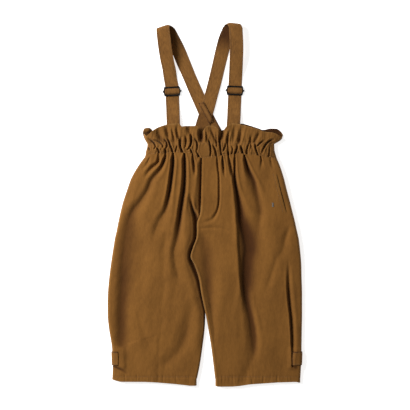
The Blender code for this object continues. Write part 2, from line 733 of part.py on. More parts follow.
def make_slider(name, slider):
    """A wire slider: a six-sided ring, its middle bar and a knob at each side."""
    turn = np.array([[math.cos(slider.lean), -math.sin(slider.lean)], [math.sin(slider.lean), math.cos(slider.lean)]])

    def placed(points):
        flat = np.array(points) @ turn.T + (slider.x, slider.y)
        return np.column_stack([flat, np.full(len(flat), SLIDER_Z)])

    ring = wire(name, placed(SLIDER_OUTLINE), BAR_R, True)
    extras = [wire(f"{name}_bar", placed([(-15.6, 0.0), (15.6, 0.0)]), CENTRE_BAR_R, False)]
    for side in (-16.0, 16.0):
        bpy.ops.mesh.primitive_ico_sphere_add(subdivisions=2, radius=KNOB_R * MM)
        knob = bpy.context.object
        knob.location = placed([(side, 0.0)])[0] * MM
        extras.append(knob)
    bpy.context.view_layer.update()
    for extra in extras:
        union = ring.modifiers.new("union", "BOOLEAN")
        union.operation = "UNION"
        union.solver = "EXACT"
        union.object = extra
        bpy.context.view_layer.objects.active = ring
        bpy.ops.object.modifier_apply(modifier=union.name)
        bpy.data.objects.remove(extra)
    ring.data.materials.clear()
    add_material(ring, METAL_COLOUR)


def make_pocket_bag(name, front):
    """The inside of the pocket, seen through the slit: the front's points moved in."""
    first, last = LEG_ROWS.index(BAG_TOP), LEG_ROWS.index(BAG_FOOT)
    columns = len(SIDE_STEPS)
    points, normals = (part[first : last + 1, -columns:-3] for part in front)
    outer = -(CLOTH + GAP)
    make_wall(name, points, normals, outer, outer - BAG_THICK)


def main():
    for obj in list(bpy.data.objects):
        bpy.data.objects.remove(obj)
    for side in ("right", "left"):
        is_left = side == "left"
        front = front_leg_grid(is_left)
        back = back_leg_grid(is_left)
        hole = set()
        if is_left:
            column = front[0].shape[1] - 2 - POCKET_COLUMN
            slit = range(LEG_ROWS.index(POCKET_TOP), LEG_ROWS.index(POCKET_FOOT))
            hole = {(i, column) for i in slit}
            make_pocket_bag("pocket_bag_left", front)
        make_wall(f"front_leg_{side}", *front, 0.0, -CLOTH, hole)
        make_wall(f"back_leg_{side}", *back, 0.0, -CLOTH)
        make_tab(f"hem_tab_{side}", front, back, is_left)
    make_wall("waist_front", *waist_front_grid(), 0.0, -CLOTH)
    make_wall("waist_back", *waist_back_grid(), 0.0, -CLOTH)
    make_strap("strap_right", RIGHT_STRAP_FRONT, RIGHT_STRAP_BACK, RIGHT_SLIDER)
    make_strap("strap_left", LEFT_STRAP_FRONT, LEFT_STRAP_BACK, LEFT_SLIDER)
    make_keeper("strap_keeper")
    make_slider("slider_right", RIGHT_SLIDER)
    make_slider("slider_left", LEFT_SLIDER)
    to_middle = Matrix.Translation((-MIDDLE_X * MM, -MIDDLE_Y * MM, 0.0))
    for obj in bpy.data.objects:
        obj.data.transform(to_middle)


main()
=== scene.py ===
"""A small child's suspender trousers, laid flat on their back: how they look.

Cloth sizes are in millimetres in the trousers' own lay, where +X is the wearer's left,
+Y is toward the shoulders and +Z is up. A mesh is moved to the model's origin, in metres,
as it is made.
"""

import logging
import math
from dataclasses import dataclass
from enum import Enum
from typing import NamedTuple, Optional, Sequence

import bmesh
import bpy
import numpy as np
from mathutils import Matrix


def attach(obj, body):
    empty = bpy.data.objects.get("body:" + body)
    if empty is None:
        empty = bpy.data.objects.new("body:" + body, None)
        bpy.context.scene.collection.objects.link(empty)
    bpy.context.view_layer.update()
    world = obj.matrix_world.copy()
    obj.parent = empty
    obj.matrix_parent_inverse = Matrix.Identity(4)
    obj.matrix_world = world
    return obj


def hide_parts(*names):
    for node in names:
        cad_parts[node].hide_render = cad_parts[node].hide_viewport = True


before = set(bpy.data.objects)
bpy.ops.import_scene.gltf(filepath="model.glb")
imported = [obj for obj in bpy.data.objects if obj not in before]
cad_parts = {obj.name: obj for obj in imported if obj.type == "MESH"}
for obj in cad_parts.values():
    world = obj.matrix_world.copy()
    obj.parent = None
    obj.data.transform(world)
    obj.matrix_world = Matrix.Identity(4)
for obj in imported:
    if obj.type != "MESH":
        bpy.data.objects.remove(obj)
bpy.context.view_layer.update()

log = logging.getLogger("trousers")

MM = 0.001
MIDDLE = np.array([0.34, 0.86, 0.0])  # the lay's own middle, which is the model's origin
CLOTH = 1.5  # thickness of the cloth, as its solids have it
GAP = 0.3  # air between two sewn pieces
SEAM_Z = 2.7  # height of the side seams
SKIN_LOW = 4.0  # how near the ground a crease takes the front
WAIST_Y = 88.0  # seam between the legs and the casing
CREASE_TOP = 91.0  # above this the creases run straight up
CASING_STITCH_Y = WAIST_Y + 1.6  # lower stitch line of the casing
STITCH_Y = 113.5  # stitch line between the casing and the ruffle
GATHER_REACH = 42.0  # how far below the waist the gathers pull the cloth up
HEM_TOP = -318.0  # where the rows of the hem itself begin
HEM_FOOT = -326.0  # level that gives the hem's width
HEM_STITCH_Y = -315.5
TUCK_HALF = 1.2  # half width of the hem's small tucks
SLIT_INSET = 12.0  # the pocket's slit, in from the side seam
SLIT_TOP = 57.5
SLIT_FOOT = -13.0
TAB_WIDTH = 25.0
TAB_TOP = -269.5
TAB_FOOT = TAB_TOP - TAB_WIDTH
TAB_REACH = 17.5  # how far the left tab comes in on the front
TAB_THICK = 1.5
TAB_OFF = 0.4  # air between the tab and the leg
TAB_LIFT = 2.0  # how far the leg stands off the ground over its tab
TAB_BLEND = 11.0  # how far past the tab the leg is lifted
BAG_THICK = 1.2
STRAP_WIDTH = 25.0
STRAP_STITCH_INSET = 2.4
PATCH_LEFT = -13.5  # the flat patch at the casing's middle
PATCH_RIGHT = 7.5
MIDDLE_SEAM_X = -5.7
CASING_FLOOR = 7.2  # how near the ground the casing's puckers go
FLOOR_TURN = 0.6  # how softly a valley meets its floor
TACK_PLACE = (125.0, 1.5)
TACK_STITCHES = 6
TACK_PITCH = 1.3
PHOTO_SIDE = 410
MM_PER_PIXEL = 1.85
HALF_PIXEL = MM_PER_PIXEL / 2

Points = np.ndarray
Tree = bpy.types.NodeTree
Material = bpy.types.Material
Piece = bpy.types.Object


# ---- small sums


def smooth(value: Points) -> Points:
    """Ease a number from 0 to 1."""
    value = np.clip(value, 0.0, 1.0)
    return value * value * (3.0 - 2.0 * value)


def roll(distance: Points, radius: Points) -> Points:
    """A quarter round that rises from 0 to 1 over the radius."""
    rest = 1.0 - np.clip(distance / radius, 0.0, 1.0)
    return np.sqrt(np.maximum(0.0, 1.0 - rest * rest))


def ease(value: Points, start: float, end: float) -> Points:
    """Ease from 0 at the start to 1 at the end, which may be the lower of the two."""
    return smooth((value - start) / (end - start))


def bell(value: Points, middle: float, half: float) -> Points:
    """A round hump that is 1 at its middle."""
    return np.exp(-(((value - middle) / half) ** 2))


def plateau(value: Points, middle: float, half: float) -> Points:
    """A hump that is nearly flat along its top."""
    return np.exp(-(((value - middle) / half) ** 4))


def fade(distance: Points, reach: float) -> Points:
    """Fall from 1 towards 0 as the distance grows."""
    return np.exp(-distance / reach)


def soft_floor(z: Points, floor: float) -> Points:
    """Let a height sink no lower than a floor, with a soft turn."""
    return floor + FLOOR_TURN * np.log1p(np.exp((z - floor) / FLOOR_TURN))


def steps_along(path: Points) -> Points:
    """How far along a path each of its points is."""
    return np.concatenate([[0.0], np.cumsum(np.linalg.norm(np.diff(path, axis=0), axis=1))])


def curve_through(x: Points, knots: Sequence[float], values: Sequence[float]) -> Points:
    """Read a smooth curve that passes through every knot.

    Args:
        x: where to read it.
        knots: rising places.
        values: the curve's height at each knot.

    Returns:
        The curve's height at x, held level past both ends.
    """
    knots = np.asarray(knots, dtype=float)
    values = np.asarray(values, dtype=float)
    slopes = np.gradient(values, knots)
    flips = np.diff(values)
    for k in range(1, len(knots) - 1):
        if flips[k - 1] * flips[k] <= 0.0:
            slopes[k] = 0.0
    x = np.clip(x, knots[0], knots[-1])
    place = np.clip(np.searchsorted(knots, x, side="right") - 1, 0, len(knots) - 2)
    span = knots[place + 1] - knots[place]
    t = (x - knots[place]) / span
    low, high = values[place], values[place + 1]
    rise = (2 * t**3 - 3 * t**2 + 1) * low + (-2 * t**3 + 3 * t**2) * high
    return rise + (t**3 - 2 * t**2 + t) * span * slopes[place] + (t**3 - t**2) * span * slopes[place + 1]


def waves(x: Points, y: Points, pitch: float, seed: int) -> Points:
    """Soft seeded waves between about -1 and 1, with no direction of their own.

    Args:
        x: places across, mm.
        y: places along, mm.
        pitch: the usual distance between crests, mm.
        seed: picks the pattern.

    Returns:
        The height of the waves at each place.
    """
    random = np.random.default_rng(seed)
    total = np.zeros_like(x)
    for _ in range(9):
        turn, phase = random.uniform(0.0, 2 * math.pi, 2)
        step = 2 * math.pi / (pitch * random.uniform(0.7, 1.6))
        total += np.sin((x * math.cos(turn) + y * math.sin(turn)) * step + phase)
    return total / 3.6


# ---- tables of the lay


class Side(Enum):
    """The wearer's two sides."""

    RIGHT = "right"
    LEFT = "left"

    @property
    def outward(self) -> float:
        """The way from the middle to this side along X."""
        return 1.0 if self is Side.LEFT else -1.0


class LegLevel(NamedTuple):
    """Where the legs' four edges are at one height."""

    y: float
    right_side: float
    right_inner: float
    left_inner: float
    left_side: float


class Loft(NamedTuple):
    """How high the front stands, and its two edges along the middle, at one height."""

    y: float
    top: float
    right_edge: float
    left_edge: float
    right_roll: float
    left_roll: float


class EdgePoint(NamedTuple):
    """A point on a hem or on a ruffle's edge."""

    x: float
    y: float


class Pucker(NamedTuple):
    """A short valley: its start, middle and end, its half width and its depth."""

    x0: float
    y0: float
    x1: float
    y1: float
    x2: float
    y2: float
    half: float
    depth: float

    def knots(self) -> list[tuple[float, ...]]:
        """The valley as knots of a crease.

        Returns:
            Five knots: x, y, depth and the two half widths.
        """
        rows = []
        for t, share in ((0.0, 0.25), (0.25, 0.9), (0.5, 1.0), (0.75, 0.9), (1.0, 0.4)):
            first, middle, last = (1 - t) * (1 - 2 * t), 4 * t * (1 - t), t * (2 * t - 1)
            x = self.x0 * first + self.x1 * middle + self.x2 * last
            y = self.y0 * first + self.y1 * middle + self.y2 * last
            rows.append((x, y, self.depth * share, self.half, self.half))
        return rows


class BandLevel(NamedTuple):
    """Where the waist casing's two ends are at one height."""

    y: float
    right: float
    left: float


class StrapRow(NamedTuple):
    """The two edges of a strap at one place, and the height of its middle layer."""

    left_x: float
    left_y: float
    right_x: float
    right_y: float
    z: float


def table_of(kind: type, *rows: tuple[float, ...]) -> tuple:
    """Turn plain rows into a table of one kind."""
    return tuple(kind(*row) for row in rows)


LEG_LEVELS = table_of(
    LegLevel,
    (88, -112.9, -5.7, -5.7, 132.5), (72, -124.1, -5.9, -5.9, 139), (50, -136.5, -6.3, -6.3, 146),
    (28, -144.4, -6.9, -6.9, 151.5), (5.5, -151.8, -7.6, -7.6, 157.5), (-16.5, -157.2, -9.6, -9.6, 163),
    (-30.5, -160.3, -14.5, -14.5, 166.5), (-47, -163.5, -15, -15, 170), (-60, -166.5, -16, -16, 173),
    (-75, -169, -21.5, -21.5, 175), (-94.5, -172, -27, -27, 177), (-108, -174, -20.5, -20.5, 178),
    (-130.5, -176.8, -12.5, -12.5, 178.5), (-163.5, -179.7, -6.8, -6.8, 179.5), (-200.5, -180, 0.6, 1, 179.5),
    (-227.5, -177.6, -0.6, 6, 179), (-260, -172.3, -4.5, 11.2, 178.5), (-294, -170.5, -9.5, 15.5, 177.5),
    (-324, -171.5, -15.5, 19, 176),
)
LOFTS = table_of(
    Loft,
    (88, 15, 5.5, 8, 0.8, 0.5), (40, 14.5, 5, 7, 0.8, 0.5), (5, 14, 4.6, 6, 0.8, 0.6),
    (-20, 13.5, 4.2, 5, 1, 1.6), (-60, 13, 3.6, 4, 1.4, 2.2), (-94.5, 12.5, 3, 3, 3, 3),
    (-200, 11, 3, 3, 3, 3), (-260, 10, 3, 3, 3.6, 3.6), (-335, 9.5, 3, 3, 4, 4),
)
HEM = table_of(
    EdgePoint,
    (-171, -321.6), (-155.5, -325.2), (-111, -325.5), (-91, -326.4), (-56, -329.3), (-37, -331.3),
    (-28, -332.5), (-15.5, -332.5), (19, -333.4), (30, -334.3), (50, -334.1), (65, -332.8), (83, -330),
    (101, -328.8), (133, -326.5), (168, -325.5), (176, -327.2),
)


def hem_tucks(levels: tuple[float, float, float], *tucks: tuple[float, float]) -> list[tuple]:
    """Small tucks that the hem's stitches draw in, as creases of three knots.

    Args:
        levels: where each tuck starts, is deepest and ends.
        tucks: the x and the depth of each.

    Returns:
        The knots of each tuck.
    """
    top, deepest, foot = levels
    return [
        (
            (x, top, 0.0, TUCK_HALF, TUCK_HALF),
            (x + 0.4, deepest, depth, TUCK_HALF, TUCK_HALF),
            (x + 0.8, foot, 0.64 * depth, TUCK_HALF, TUCK_HALF),
        )
        for x, depth in tucks
    ]


# each knot of a crease: x, y, depth, half width on its left and on its right as it runs down
RIGHT_CREASES = (
    ((-85.3, 91.6, 4, 2.5, 3), (-86.2, 80.5, 5, 2.5, 3), (-98.2, 69.4, 4.5, 3, 3),
     (-105.6, 60.1, 2.5, 3, 3.5), (-111.2, 50.9, 0, 3, 4)),
    ((-72.3, 91.6, 8, 2.6, 2.6), (-76, 80.5, 8, 2.6, 3), (-83.4, 65.7, 5.5, 3.2, 4),
     (-98.2, 47.2, 3.9, 4, 5), (-105.6, 28.7, 4, 4.5, 6), (-116.7, 10.2, 3.8, 5, 8),
     (-131.5, -8.3, 4.7, 7, 11), (-140, -26.8, 5.2, 9, 20), (-144.5, -49, 5.6, 11, 26),
     (-148.2, -73.1, 5.8, 12, 30), (-150.8, -104.5, 5.9, 13, 30), (-152.6, -147.1, 5.9, 13, 28),
     (-153.7, -174.8, 5.9, 13, 24), (-154.5, -202.6, 5.7, 12, 20), (-154.5, -230.3, 5.6, 12, 20),
     (-154.5, -254.4, 5.2, 12, 20), (-146.3, -271, 3, 9, 14), (-131.5, -287.7, 1.8, 8, 10),
     (-116.7, -300.6, 0, 8, 8)),
    ((-58.6, 91.6, 10.5, 2.6, 2.8), (-59.2, 74.9, 10.5, 2.6, 3), (-61.8, 50.9, 10.5, 2.9, 3.2),
     (-64.7, 28.7, 9.2, 3, 3.4), (-68.4, 10.2, 7, 3.2, 4.4), (-72.8, -8.3, 4.2, 3.8, 6),
     (-83, -26.8, 2.7, 5, 9), (-90.8, -45.3, 2.4, 5.5, 9), (-100.1, -67.5, 0, 6, 9)),
    ((-37.5, 91.6, 10.5, 3, 2.8), (-37.1, 65.7, 10.5, 3, 3.2), (-37.6, 43.5, 10.5, 3.2, 3.4),
     (-39.2, 25, 10.5, 3.4, 3.6), (-42.2, 6.5, 10.5, 3.4, 3.6), (-45, -12, 9.5, 3.4, 4),
     (-46.9, -30.5, 7.5, 4, 4.4), (-49.4, -49, 5.6, 4.5, 5.4), (-52.6, -67.5, 3.6, 4.5, 7),
     (-56.6, -86, 2.4, 4.5, 7), (-55.7, -104.5, 2.2, 5, 7), (-51.1, -123, 2.2, 5, 6),
     (-47.4, -148.9, 0, 5, 6)),
    ((-22.4, 91.6, 7, 2, 2.2), (-20.9, 78.6, 6, 2, 2.4), (-19.4, 65.7, 4, 2, 2.4),
     (-17.8, 54.6, 0, 2, 2.4)),
    ((-27.2, 23.1, 0, 4, 2.5), (-25.7, 10.2, 3.4, 3.4, 2.4), (-22.8, -4.6, 5.5, 5, 2.5),
     (-18.7, -19.4, 7, 6, 6), (-15, -34.2, 7, 7.5, 9), (-14.6, -49, 7, 8, 9), (-16.8, -65.7, 7, 7.5, 9),
     (-24.2, -82.3, 7, 6, 9), (-26.1, -97.1, 7, 5, 9), (-20.5, -111.9, 7, 6.5, 9),
     (-13.1, -130.4, 6.8, 8, 9), (-8.3, -147.1, 6.6, 8, 9), (-3.1, -174.8, 6, 8, 8), (1.3, -202.6, 5, 7, 8),
     (0.2, -234, 3.6, 7, 8), (-4.8, -258.1, 2.6, 6, 8), (-9.4, -285.8, 0, 6, 8)),
    ((-27.2, 13.9, 0, 1.6, 1.6), (-23.1, -4.6, 7.5, 2, 2), (-18.3, -19.4, 9.8, 2.6, 4),
     (-15, -34.2, 9.8, 3.2, 9), (-14.6, -49, 9.8, 3.4, 9), (-16.8, -65.7, 9.8, 3.2, 9),
     (-24.2, -82.3, 9.8, 3, 9), (-26.1, -97.1, 9.8, 2.8, 9), (-20.5, -111.9, 9.6, 3, 9),
     (-13.1, -130.4, 9.2, 3, 9), (-8.3, -147.1, 8.8, 3, 9), (-3.1, -174.8, 8, 2.4, 8),
     (1.3, -202.6, 6.5, 2, 8), (0.2, -234, 4, 2, 8), (-3.9, -248.8, 0, 2, 8)),
    ((-6.5, 91.6, 6, 3.2, 6), (-6.1, 65.7, 8, 4, 6), (-6.5, 37.9, 8, 4.8, 6), (-7.2, 10.2, 7, 6, 6),
     (-8.3, -12, 5, 7, 6), (-10.4, -34.2, 3.6, 6, 6), (-11.3, -49, 0, 6, 6)),
    ((-6.5, 102.7, 9.5, 1.6, 6), (-6.1, 65.7, 9.5, 1.8, 6), (-6.5, 37.9, 9.5, 2, 6),
     (-7.2, 10.2, 9, 2.4, 6), (-8, -12, 8.6, 2.2, 6), (-8.7, -25, 6.6, 2, 6), (-9.4, -37.9, 0, 2, 6)),
    ((-127.8, -178.5, 0, 6, 6), (-122.3, -202.6, 1, 6, 7), (-114.9, -230.3, 1.3, 7, 8),
     (-101.9, -258.1, 1.2, 7, 8), (-87.1, -274.7, 0, 7, 7)),
    ((-24.2, -171.1, 0, 8, 9), (-27.9, -198.9, 2.2, 9, 10), (-33.5, -230.3, 3.6, 10, 10),
     (-41.8, -256.2, 3.4, 9, 11), (-53.8, -274.7, 2.2, 9, 10), (-68.6, -287.7, 2, 8, 9),
     (-83.4, -296.9, 0, 8, 8)),
    ((-72.3, -56.4, 1, 5, 4), (-74.9, -82.3, 1.3, 6, 5), (-76.2, -104.5, 1.1, 7, 6),
     (-75.7, -147.1, 1.1, 7, 6), (-78.6, -174.8, 0.8, 6, 6), (-80.8, -230.3, 0.7, 5, 5),
     (-84.2, -258.1, 0.7, 4, 4), (-86, -289.5, 0.6, 4, 4), (-87.1, -322.8, 0.6, 4, 4)),
    ((-101.9, 87.9, 2.2, 2, 2.5), (-107.5, 76.8, 2, 2, 3), (-116.7, 65.7, 0, 2, 3)),
    *hem_tucks((-311, -315.4, -326.5), (-148.2, 0.72), (-126, 0.88), (-103.8, 0.55), (-77.9, 0.77),
               (-53.9, 0.55), (-29.8, 0.66)),
)
LEFT_CREASES = (
    ((22, 91.6, 5, 1.5, 1.7), (23.1, 76.8, 4, 1.5, 1.8), (25.7, 56.4, 3.4, 1.6, 1.7),
     (26.3, 25, 3.8, 1.7, 1.6), (25.7, 4.6, 3.6, 1.7, 1.7), (22, -12, 3, 2, 2),
     (13.7, -25, 1.8, 3, 3), (-0.2, -30.5, 1, 3, 3), (-7.6, -32.4, 0, 3, 3)),
    ((32.2, 91.6, 8, 1.6, 1.8), (33.1, 78.6, 7, 1.7, 2), (35, 63.8, 3.4, 2, 2), (36.8, 50.9, 0, 2, 2)),
    ((42.9, 91.6, 6, 1.7, 2.5), (46.1, 76.8, 6, 2, 3), (49.8, 62, 6, 2.5, 3), (53.5, 47.2, 0, 2, 2)),
    ((55.3, 91.6, 6, 1.8, 1.8), (54.9, 74.9, 6.5, 1.8, 2), (54.9, 50.9, 9.5, 2.6, 3),
     (57.9, 28.7, 10.5, 3, 4), (60.9, 10.2, 10.5, 3.8, 5.5), (63.1, -8.3, 10.5, 4, 9),
     (64.6, -26.8, 10, 4.4, 15), (70.1, -45.3, 9.8, 6.4, 20), (75.7, -63.8, 9.8, 9.4, 22),
     (78.4, -82.3, 9.6, 10, 22), (74.7, -100.8, 9.4, 7, 22), (73.4, -119.3, 9.2, 6, 22),
     (72.3, -147.1, 8.8, 4.2, 22), (76.4, -174.8, 6.4, 7.4, 19), (82.4, -202.6, 4.6, 13, 15),
     (84.7, -230.3, 4, 13.5, 12), (85.6, -258.1, 3.6, 13, 12), (84.8, -280.3, 2.8, 12, 12),
     (79.4, -300.6, 2.2, 9, 10), (71, -322.8, 1.8, 7, 8)),
    ((73, -140, 0, 3, 3), (74.5, -165, 6.4, 3, 6), (79.6, -184, 7.9, 5, 5),
     (86.4, -211.8, 8.2, 7, 5.4), (90.4, -239.6, 7.8, 7.6, 6.2), (91.4, -264, 5.2, 7, 6.6),
     (88.6, -282, 2.4, 6, 6), (81.5, -298, 0, 5, 5)),
    ((57.2, 43.5, 0, 2, 18), (60.1, 19.4, 3.4, 2.4, 30), (62, -8.3, 4, 2.6, 40),
     (62.7, -36.1, 4, 2.6, 44), (63.5, -73.1, 4, 2.6, 44), (65.7, -104.5, 4, 2.4, 40),
     (68.6, -147.1, 4, 2.4, 36), (73.8, -178.5, 3, 4, 28), (81.2, -208.1, 0, 6, 20)),
    ((73.1, 91.6, 9.5, 2.6, 2), (77.1, 76.8, 9.5, 3.4, 2.4), (82, 63.8, 9, 5, 2.8),
     (90.5, 47.2, 7.4, 8, 3), (95.1, 28.7, 5.8, 9, 5), (98.8, 8.3, 4.6, 9, 7), (101.6, -12, 4.2, 11, 8),
     (99.7, -34.2, 4, 13, 9), (97.9, -56.4, 3, 13, 9), (94.2, -82.3, 0, 10, 9)),
    ((103, 91.6, 4.6, 1.8, 1.8), (104.2, 82.3, 3.4, 1.8, 2), (103.4, 71.2, 1.2, 2.4, 3),
     (99.7, 58.3, 0, 3, 4)),
    ((120.6, 91.6, 2.5, 2, 2), (121.9, 80.5, 2.2, 2, 2.4), (125.6, 65.7, 0, 2, 3)),
    ((156.1, -34.2, 0, 4, 3), (153.4, -47.2, 1.9, 5, 4), (147.8, -63.8, 2.2, 7, 5),
     (143.2, -82.3, 1.6, 8, 6), (131.2, -100.8, 1.7, 7, 6), (125.6, -119.3, 1.9, 7, 6),
     (115.4, -147.1, 1.7, 6, 7), (107.1, -171.1, 0, 6, 7)),
    ((153.4, -97.1, 0, 3, 3), (154.5, -119.3, 2.2, 3, 3), (153.6, -147.1, 5.4, 2.2, 4),
     (155.2, -174.8, 7, 2, 4.4), (158, -202.6, 7.2, 1.8, 4.6), (159.8, -230.3, 7.2, 1.7, 4.6),
     (160.8, -258.1, 6.3, 1.6, 4.4), (161.5, -272.9, 5, 1.5, 3), (161.5, -285.8, 3, 1.4, 1.6),
     (161.9, -296.9, 3, 1.4, 1.6)),
    ((-15, -43.5, 0, 2, 3), (-2, -42.6, 1.6, 1.8, 3.2), (16.5, -41.6, 1.4, 1.8, 3.6),
     (35, -44.4, 1.5, 1.8, 3.2), (46.1, -50.9, 0, 2, 3)),
    ((-13.1, -56.4, 0, 2, 2), (-2, -54.6, 1.6, 1.6, 2.6), (9.1, -52.7, 0, 1.6, 2.6)),
    ((-9.4, -43.5, 0, 8, 8), (-2, -62, 4.2, 13, 14), (2.4, -86, 5.2, 16, 20),
     (2.8, -119.3, 5.2, 14, 20), (6.1, -152.6, 4.8, 9, 16), (10.2, -174.8, 3.6, 6, 11),
     (13.5, -202.6, 2.2, 4, 6), (17, -234, 1.2, 3, 4), (18.3, -267.3, 0, 3, 3)),
    ((81, -274.7, 0.6, 1.6, 1.6), (82.7, -304.3, 0.8, 1.6, 1.6), (87.7, -328.4, 0.8, 1.6, 1.6)),
    *hem_tucks((-312.8, -317.3, -330.2), (31.2, 0.55), (51.6, 0.72), (66.4, 0.55), (107.1, 0.61),
               (133, 0.72), (153.3, 0.55)),
)
# x, and how far the gathers draw the waist seam up there
SEAM_DRAW = (
    (-114, 2), (-92.7, 7.5), (-74, 9), (-55.7, 10), (-37.2, 9), (-22.4, 6.5), (-11.3, 0), (9, 0), (22, 3.5),
    (36.8, 4.5), (55.3, 6), (73.8, 7.5), (86.8, 6.5), (105.3, 3.5), (120, 1), (140, 0),
)
RIGHT_HEM_PLEAT = (
    (-171.5, -296, 1, 1.8, 1.8), (-165, -298.5, 1, 1.8, 2.2), (-154, -303.5, 0.9, 1.8, 3),
    (-146, -308.5, 0.45, 2, 3), (-140, -312, 0, 2, 2),
)
LEFT_HEM_PLEAT = (
    (162, -296.5, 1, 2.4, 2.6), (167, -299, 1, 2.4, 2.6), (173, -302, 0, 2, 2),
)
BAND_LEVELS = table_of(
    BandLevel,
    (WAIST_Y - 0.4, -112.4, 132.4), (92, -110.5, 131.3), (100.5, -109.2, 128.8), (108, -107, 128.2),
    (STITCH_Y, -106.5, 127.9),
)
FRONT_RUFFLE_EDGE = table_of(
    EdgePoint,
    (-113, 132.4), (-109.7, 129.6), (-106.6, 128.2), (-103.8, 130.6), (-101, 133.6), (-97.3, 136.6),
    (-90, 142), (-80.5, 146), (-70.5, 149), (-57.5, 150.5), (-46.5, 149.5), (-42.5, 145.5), (-33.5, 146.5),
    (-20.5, 146.5), (-13, 144.5), (-9.5, 137), (-7, 131.5), (-4.5, 136), (-1, 141.5), (6.5, 147), (18.5, 145),
    (26.5, 138), (32, 135), (36.6, 142.2), (42.5, 148), (51.5, 151), (66.5, 149), (79.5, 145.6), (98, 140.2),
    (107, 136.6), (113, 135.4), (122, 134.6), (129.5, 132.8), (136.5, 128.6), (143, 126),
)
BACK_RUFFLE_EDGE = table_of(
    EdgePoint,
    (-115, 135.5), (-113.2, 140.6), (-109.5, 143.2), (-103, 143.4), (-99.6, 140.6), (-96.5, 136.5),
    (-26, 137), (33, 139.4), (57, 147.6), (66.5, 151.4), (83, 147.8), (98, 142.8), (107, 139.6), (112, 140.2),
    (120, 142.2), (129.3, 142.2), (136.7, 139.6), (141.3, 135.4), (144.2, 130.8),
)
PUCKERS = table_of(
    Pucker,
    (-105.5, 108.5, -103.2, 103.5, -101.5, 97, 1.8, 3.5), (-104, 123, -92, 112, -93.5, 100, 1.9, 4),
    (-94.5, 120.5, -80.5, 114.5, -77, 103.5, 1.9, 3.5), (-89, 103.5, -85.5, 94.5, -84, 83, 2.1, 4),
    (-77, 122.5, -69.5, 113, -73, 97, 2.1, 4), (-73, 99, -72.5, 91.5, -72, 83, 2.4, 5),
    (-68.5, 122.5, -63.5, 108, -58.5, 83, 2.4, 6), (-50.5, 111, -52.5, 97.5, -55, 87, 1.9, 3),
    (-44, 125, -45.5, 107, -39, 83, 2.5, 6), (-26, 133, -25.5, 115.5, -31.5, 96, 2.2, 6.5),
    (-17.5, 122, -14, 112, -15.5, 97, 1.9, 4), (-28, 101, -25, 93.5, -22, 83, 2.2, 5),
    (-15.5, 99, -12, 91.5, -8.5, 83, 2.2, 4), (-7, 142.5, -7, 131.5, -7, 120, 4.2, 9),
    (6.5, 122, 10.5, 105.5, 10, 91.5, 2, 4.5), (15, 111, 19.5, 99, 21.5, 83, 2.1, 4.5),
    (26.5, 128.5, 27.5, 114, 30, 93.5, 2.2, 6), (38.5, 114.5, 36.5, 104.5, 32.5, 95.5, 1.9, 4),
    (44, 134, 41.5, 118.5, 44, 99, 2.4, 3.5), (42.5, 99, 43, 91.5, 44, 83, 2.2, 5),
    (30, 95.5, 30.5, 89.5, 32, 83, 2.1, 4.5), (59.5, 112.5, 58.5, 98, 52.5, 83, 2.2, 4.5),
    (68, 144.5, 65, 126.5, 62.5, 114, 3.6, 3), (66.5, 108, 68, 97, 71, 83, 2.4, 5.5),
    (82, 116.5, 77.5, 98, 78.5, 83, 2.1, 4), (93.5, 112.5, 94, 100.5, 100.5, 83, 2.2, 4.5),
    (108.5, 119.5, 101, 113.5, 94, 106, 1.9, 3.5), (126.5, 121.5, 113, 113, 105.5, 94, 2, 4.5),
    (85.5, 127.5, 84, 117.5, 87, 102.5, 3.2, 3), (50, 108, 51, 97, 49, 86, 1.8, 3),
    (119, 108, 119, 99, 117, 87, 1.9, 2.5), (-71, 144.5, -69, 134, -67, 123, 3.4, 2.8),
    (-50, 145, -51, 132.5, -45, 120, 2.8, 2.8), (-32.5, 144.5, -29, 138, -26.5, 130.5, 4.5, 3),
    (32, 141, 31.5, 130.5, 28.5, 119.5, 4.6, 6), (-86.5, 139, -84.5, 129.5, -76.5, 117.5, 5.6, 3.2),
    (11, 142.5, 15.5, 129.5, 22, 115.5, 2.6, 2.6), (56, 145, 54, 132.5, 52, 117.5, 3.6, 2),
    (99.5, 134, 96, 125, 90.5, 115.5, 3.4, 2.4), (1, 140.5, 3, 128.5, 4.5, 116.5, 2.4, 2.4),
    (-35.5, 128.5, -35, 115.5, -37, 101, 2, 3), (21, 132.5, 21.5, 121, 23, 108, 2.2, 3),
    (-60, 139.5, -58, 128.5, -56, 115.5, 2.4, 2.2),
)
FRONT_ENDS = (0, 0.0012, 0.003, 0.006, 0.01)  # columns near the ends of the waist
BACK_ENDS = (0, 0.001, 0.003, 0.0055, 0.0085, 0.012)
CURL_MIDDLE = EdgePoint(-106.2, 135.2)  # where the painted shade in the hollow of the ruffle's curled end is darkest
CURL_LEAN = 0.36
FOLD_TOP_Z = 14.6
FLAT_Z = 0.8
INSIDE_Z = 6.4
RIGHT_STRAP_FRONT = table_of(
    StrapRow,
    (-69.5, 102.5, -44.5, 102.5, INSIDE_Z), (-71, 153.5, -46, 153.5, INSIDE_Z), (-71.5, 166, -46.5, 166, 4.6),
    (-72, 180, -47, 180, 1.4), (-72.5, 190, -47.5, 190, FLAT_Z), (-74, 221.5, -49, 221.5, FLAT_Z),
    (-76.5, 235, -51.5, 235, 1.6), (-78.5, 250, -53.5, 250, 6.4), (-82, 266, -57, 266, 11.4),
    (-86, 290, -61, 290, FOLD_TOP_Z), (-89.2, 317.3, -65.4, 326.1, FOLD_TOP_Z),
)
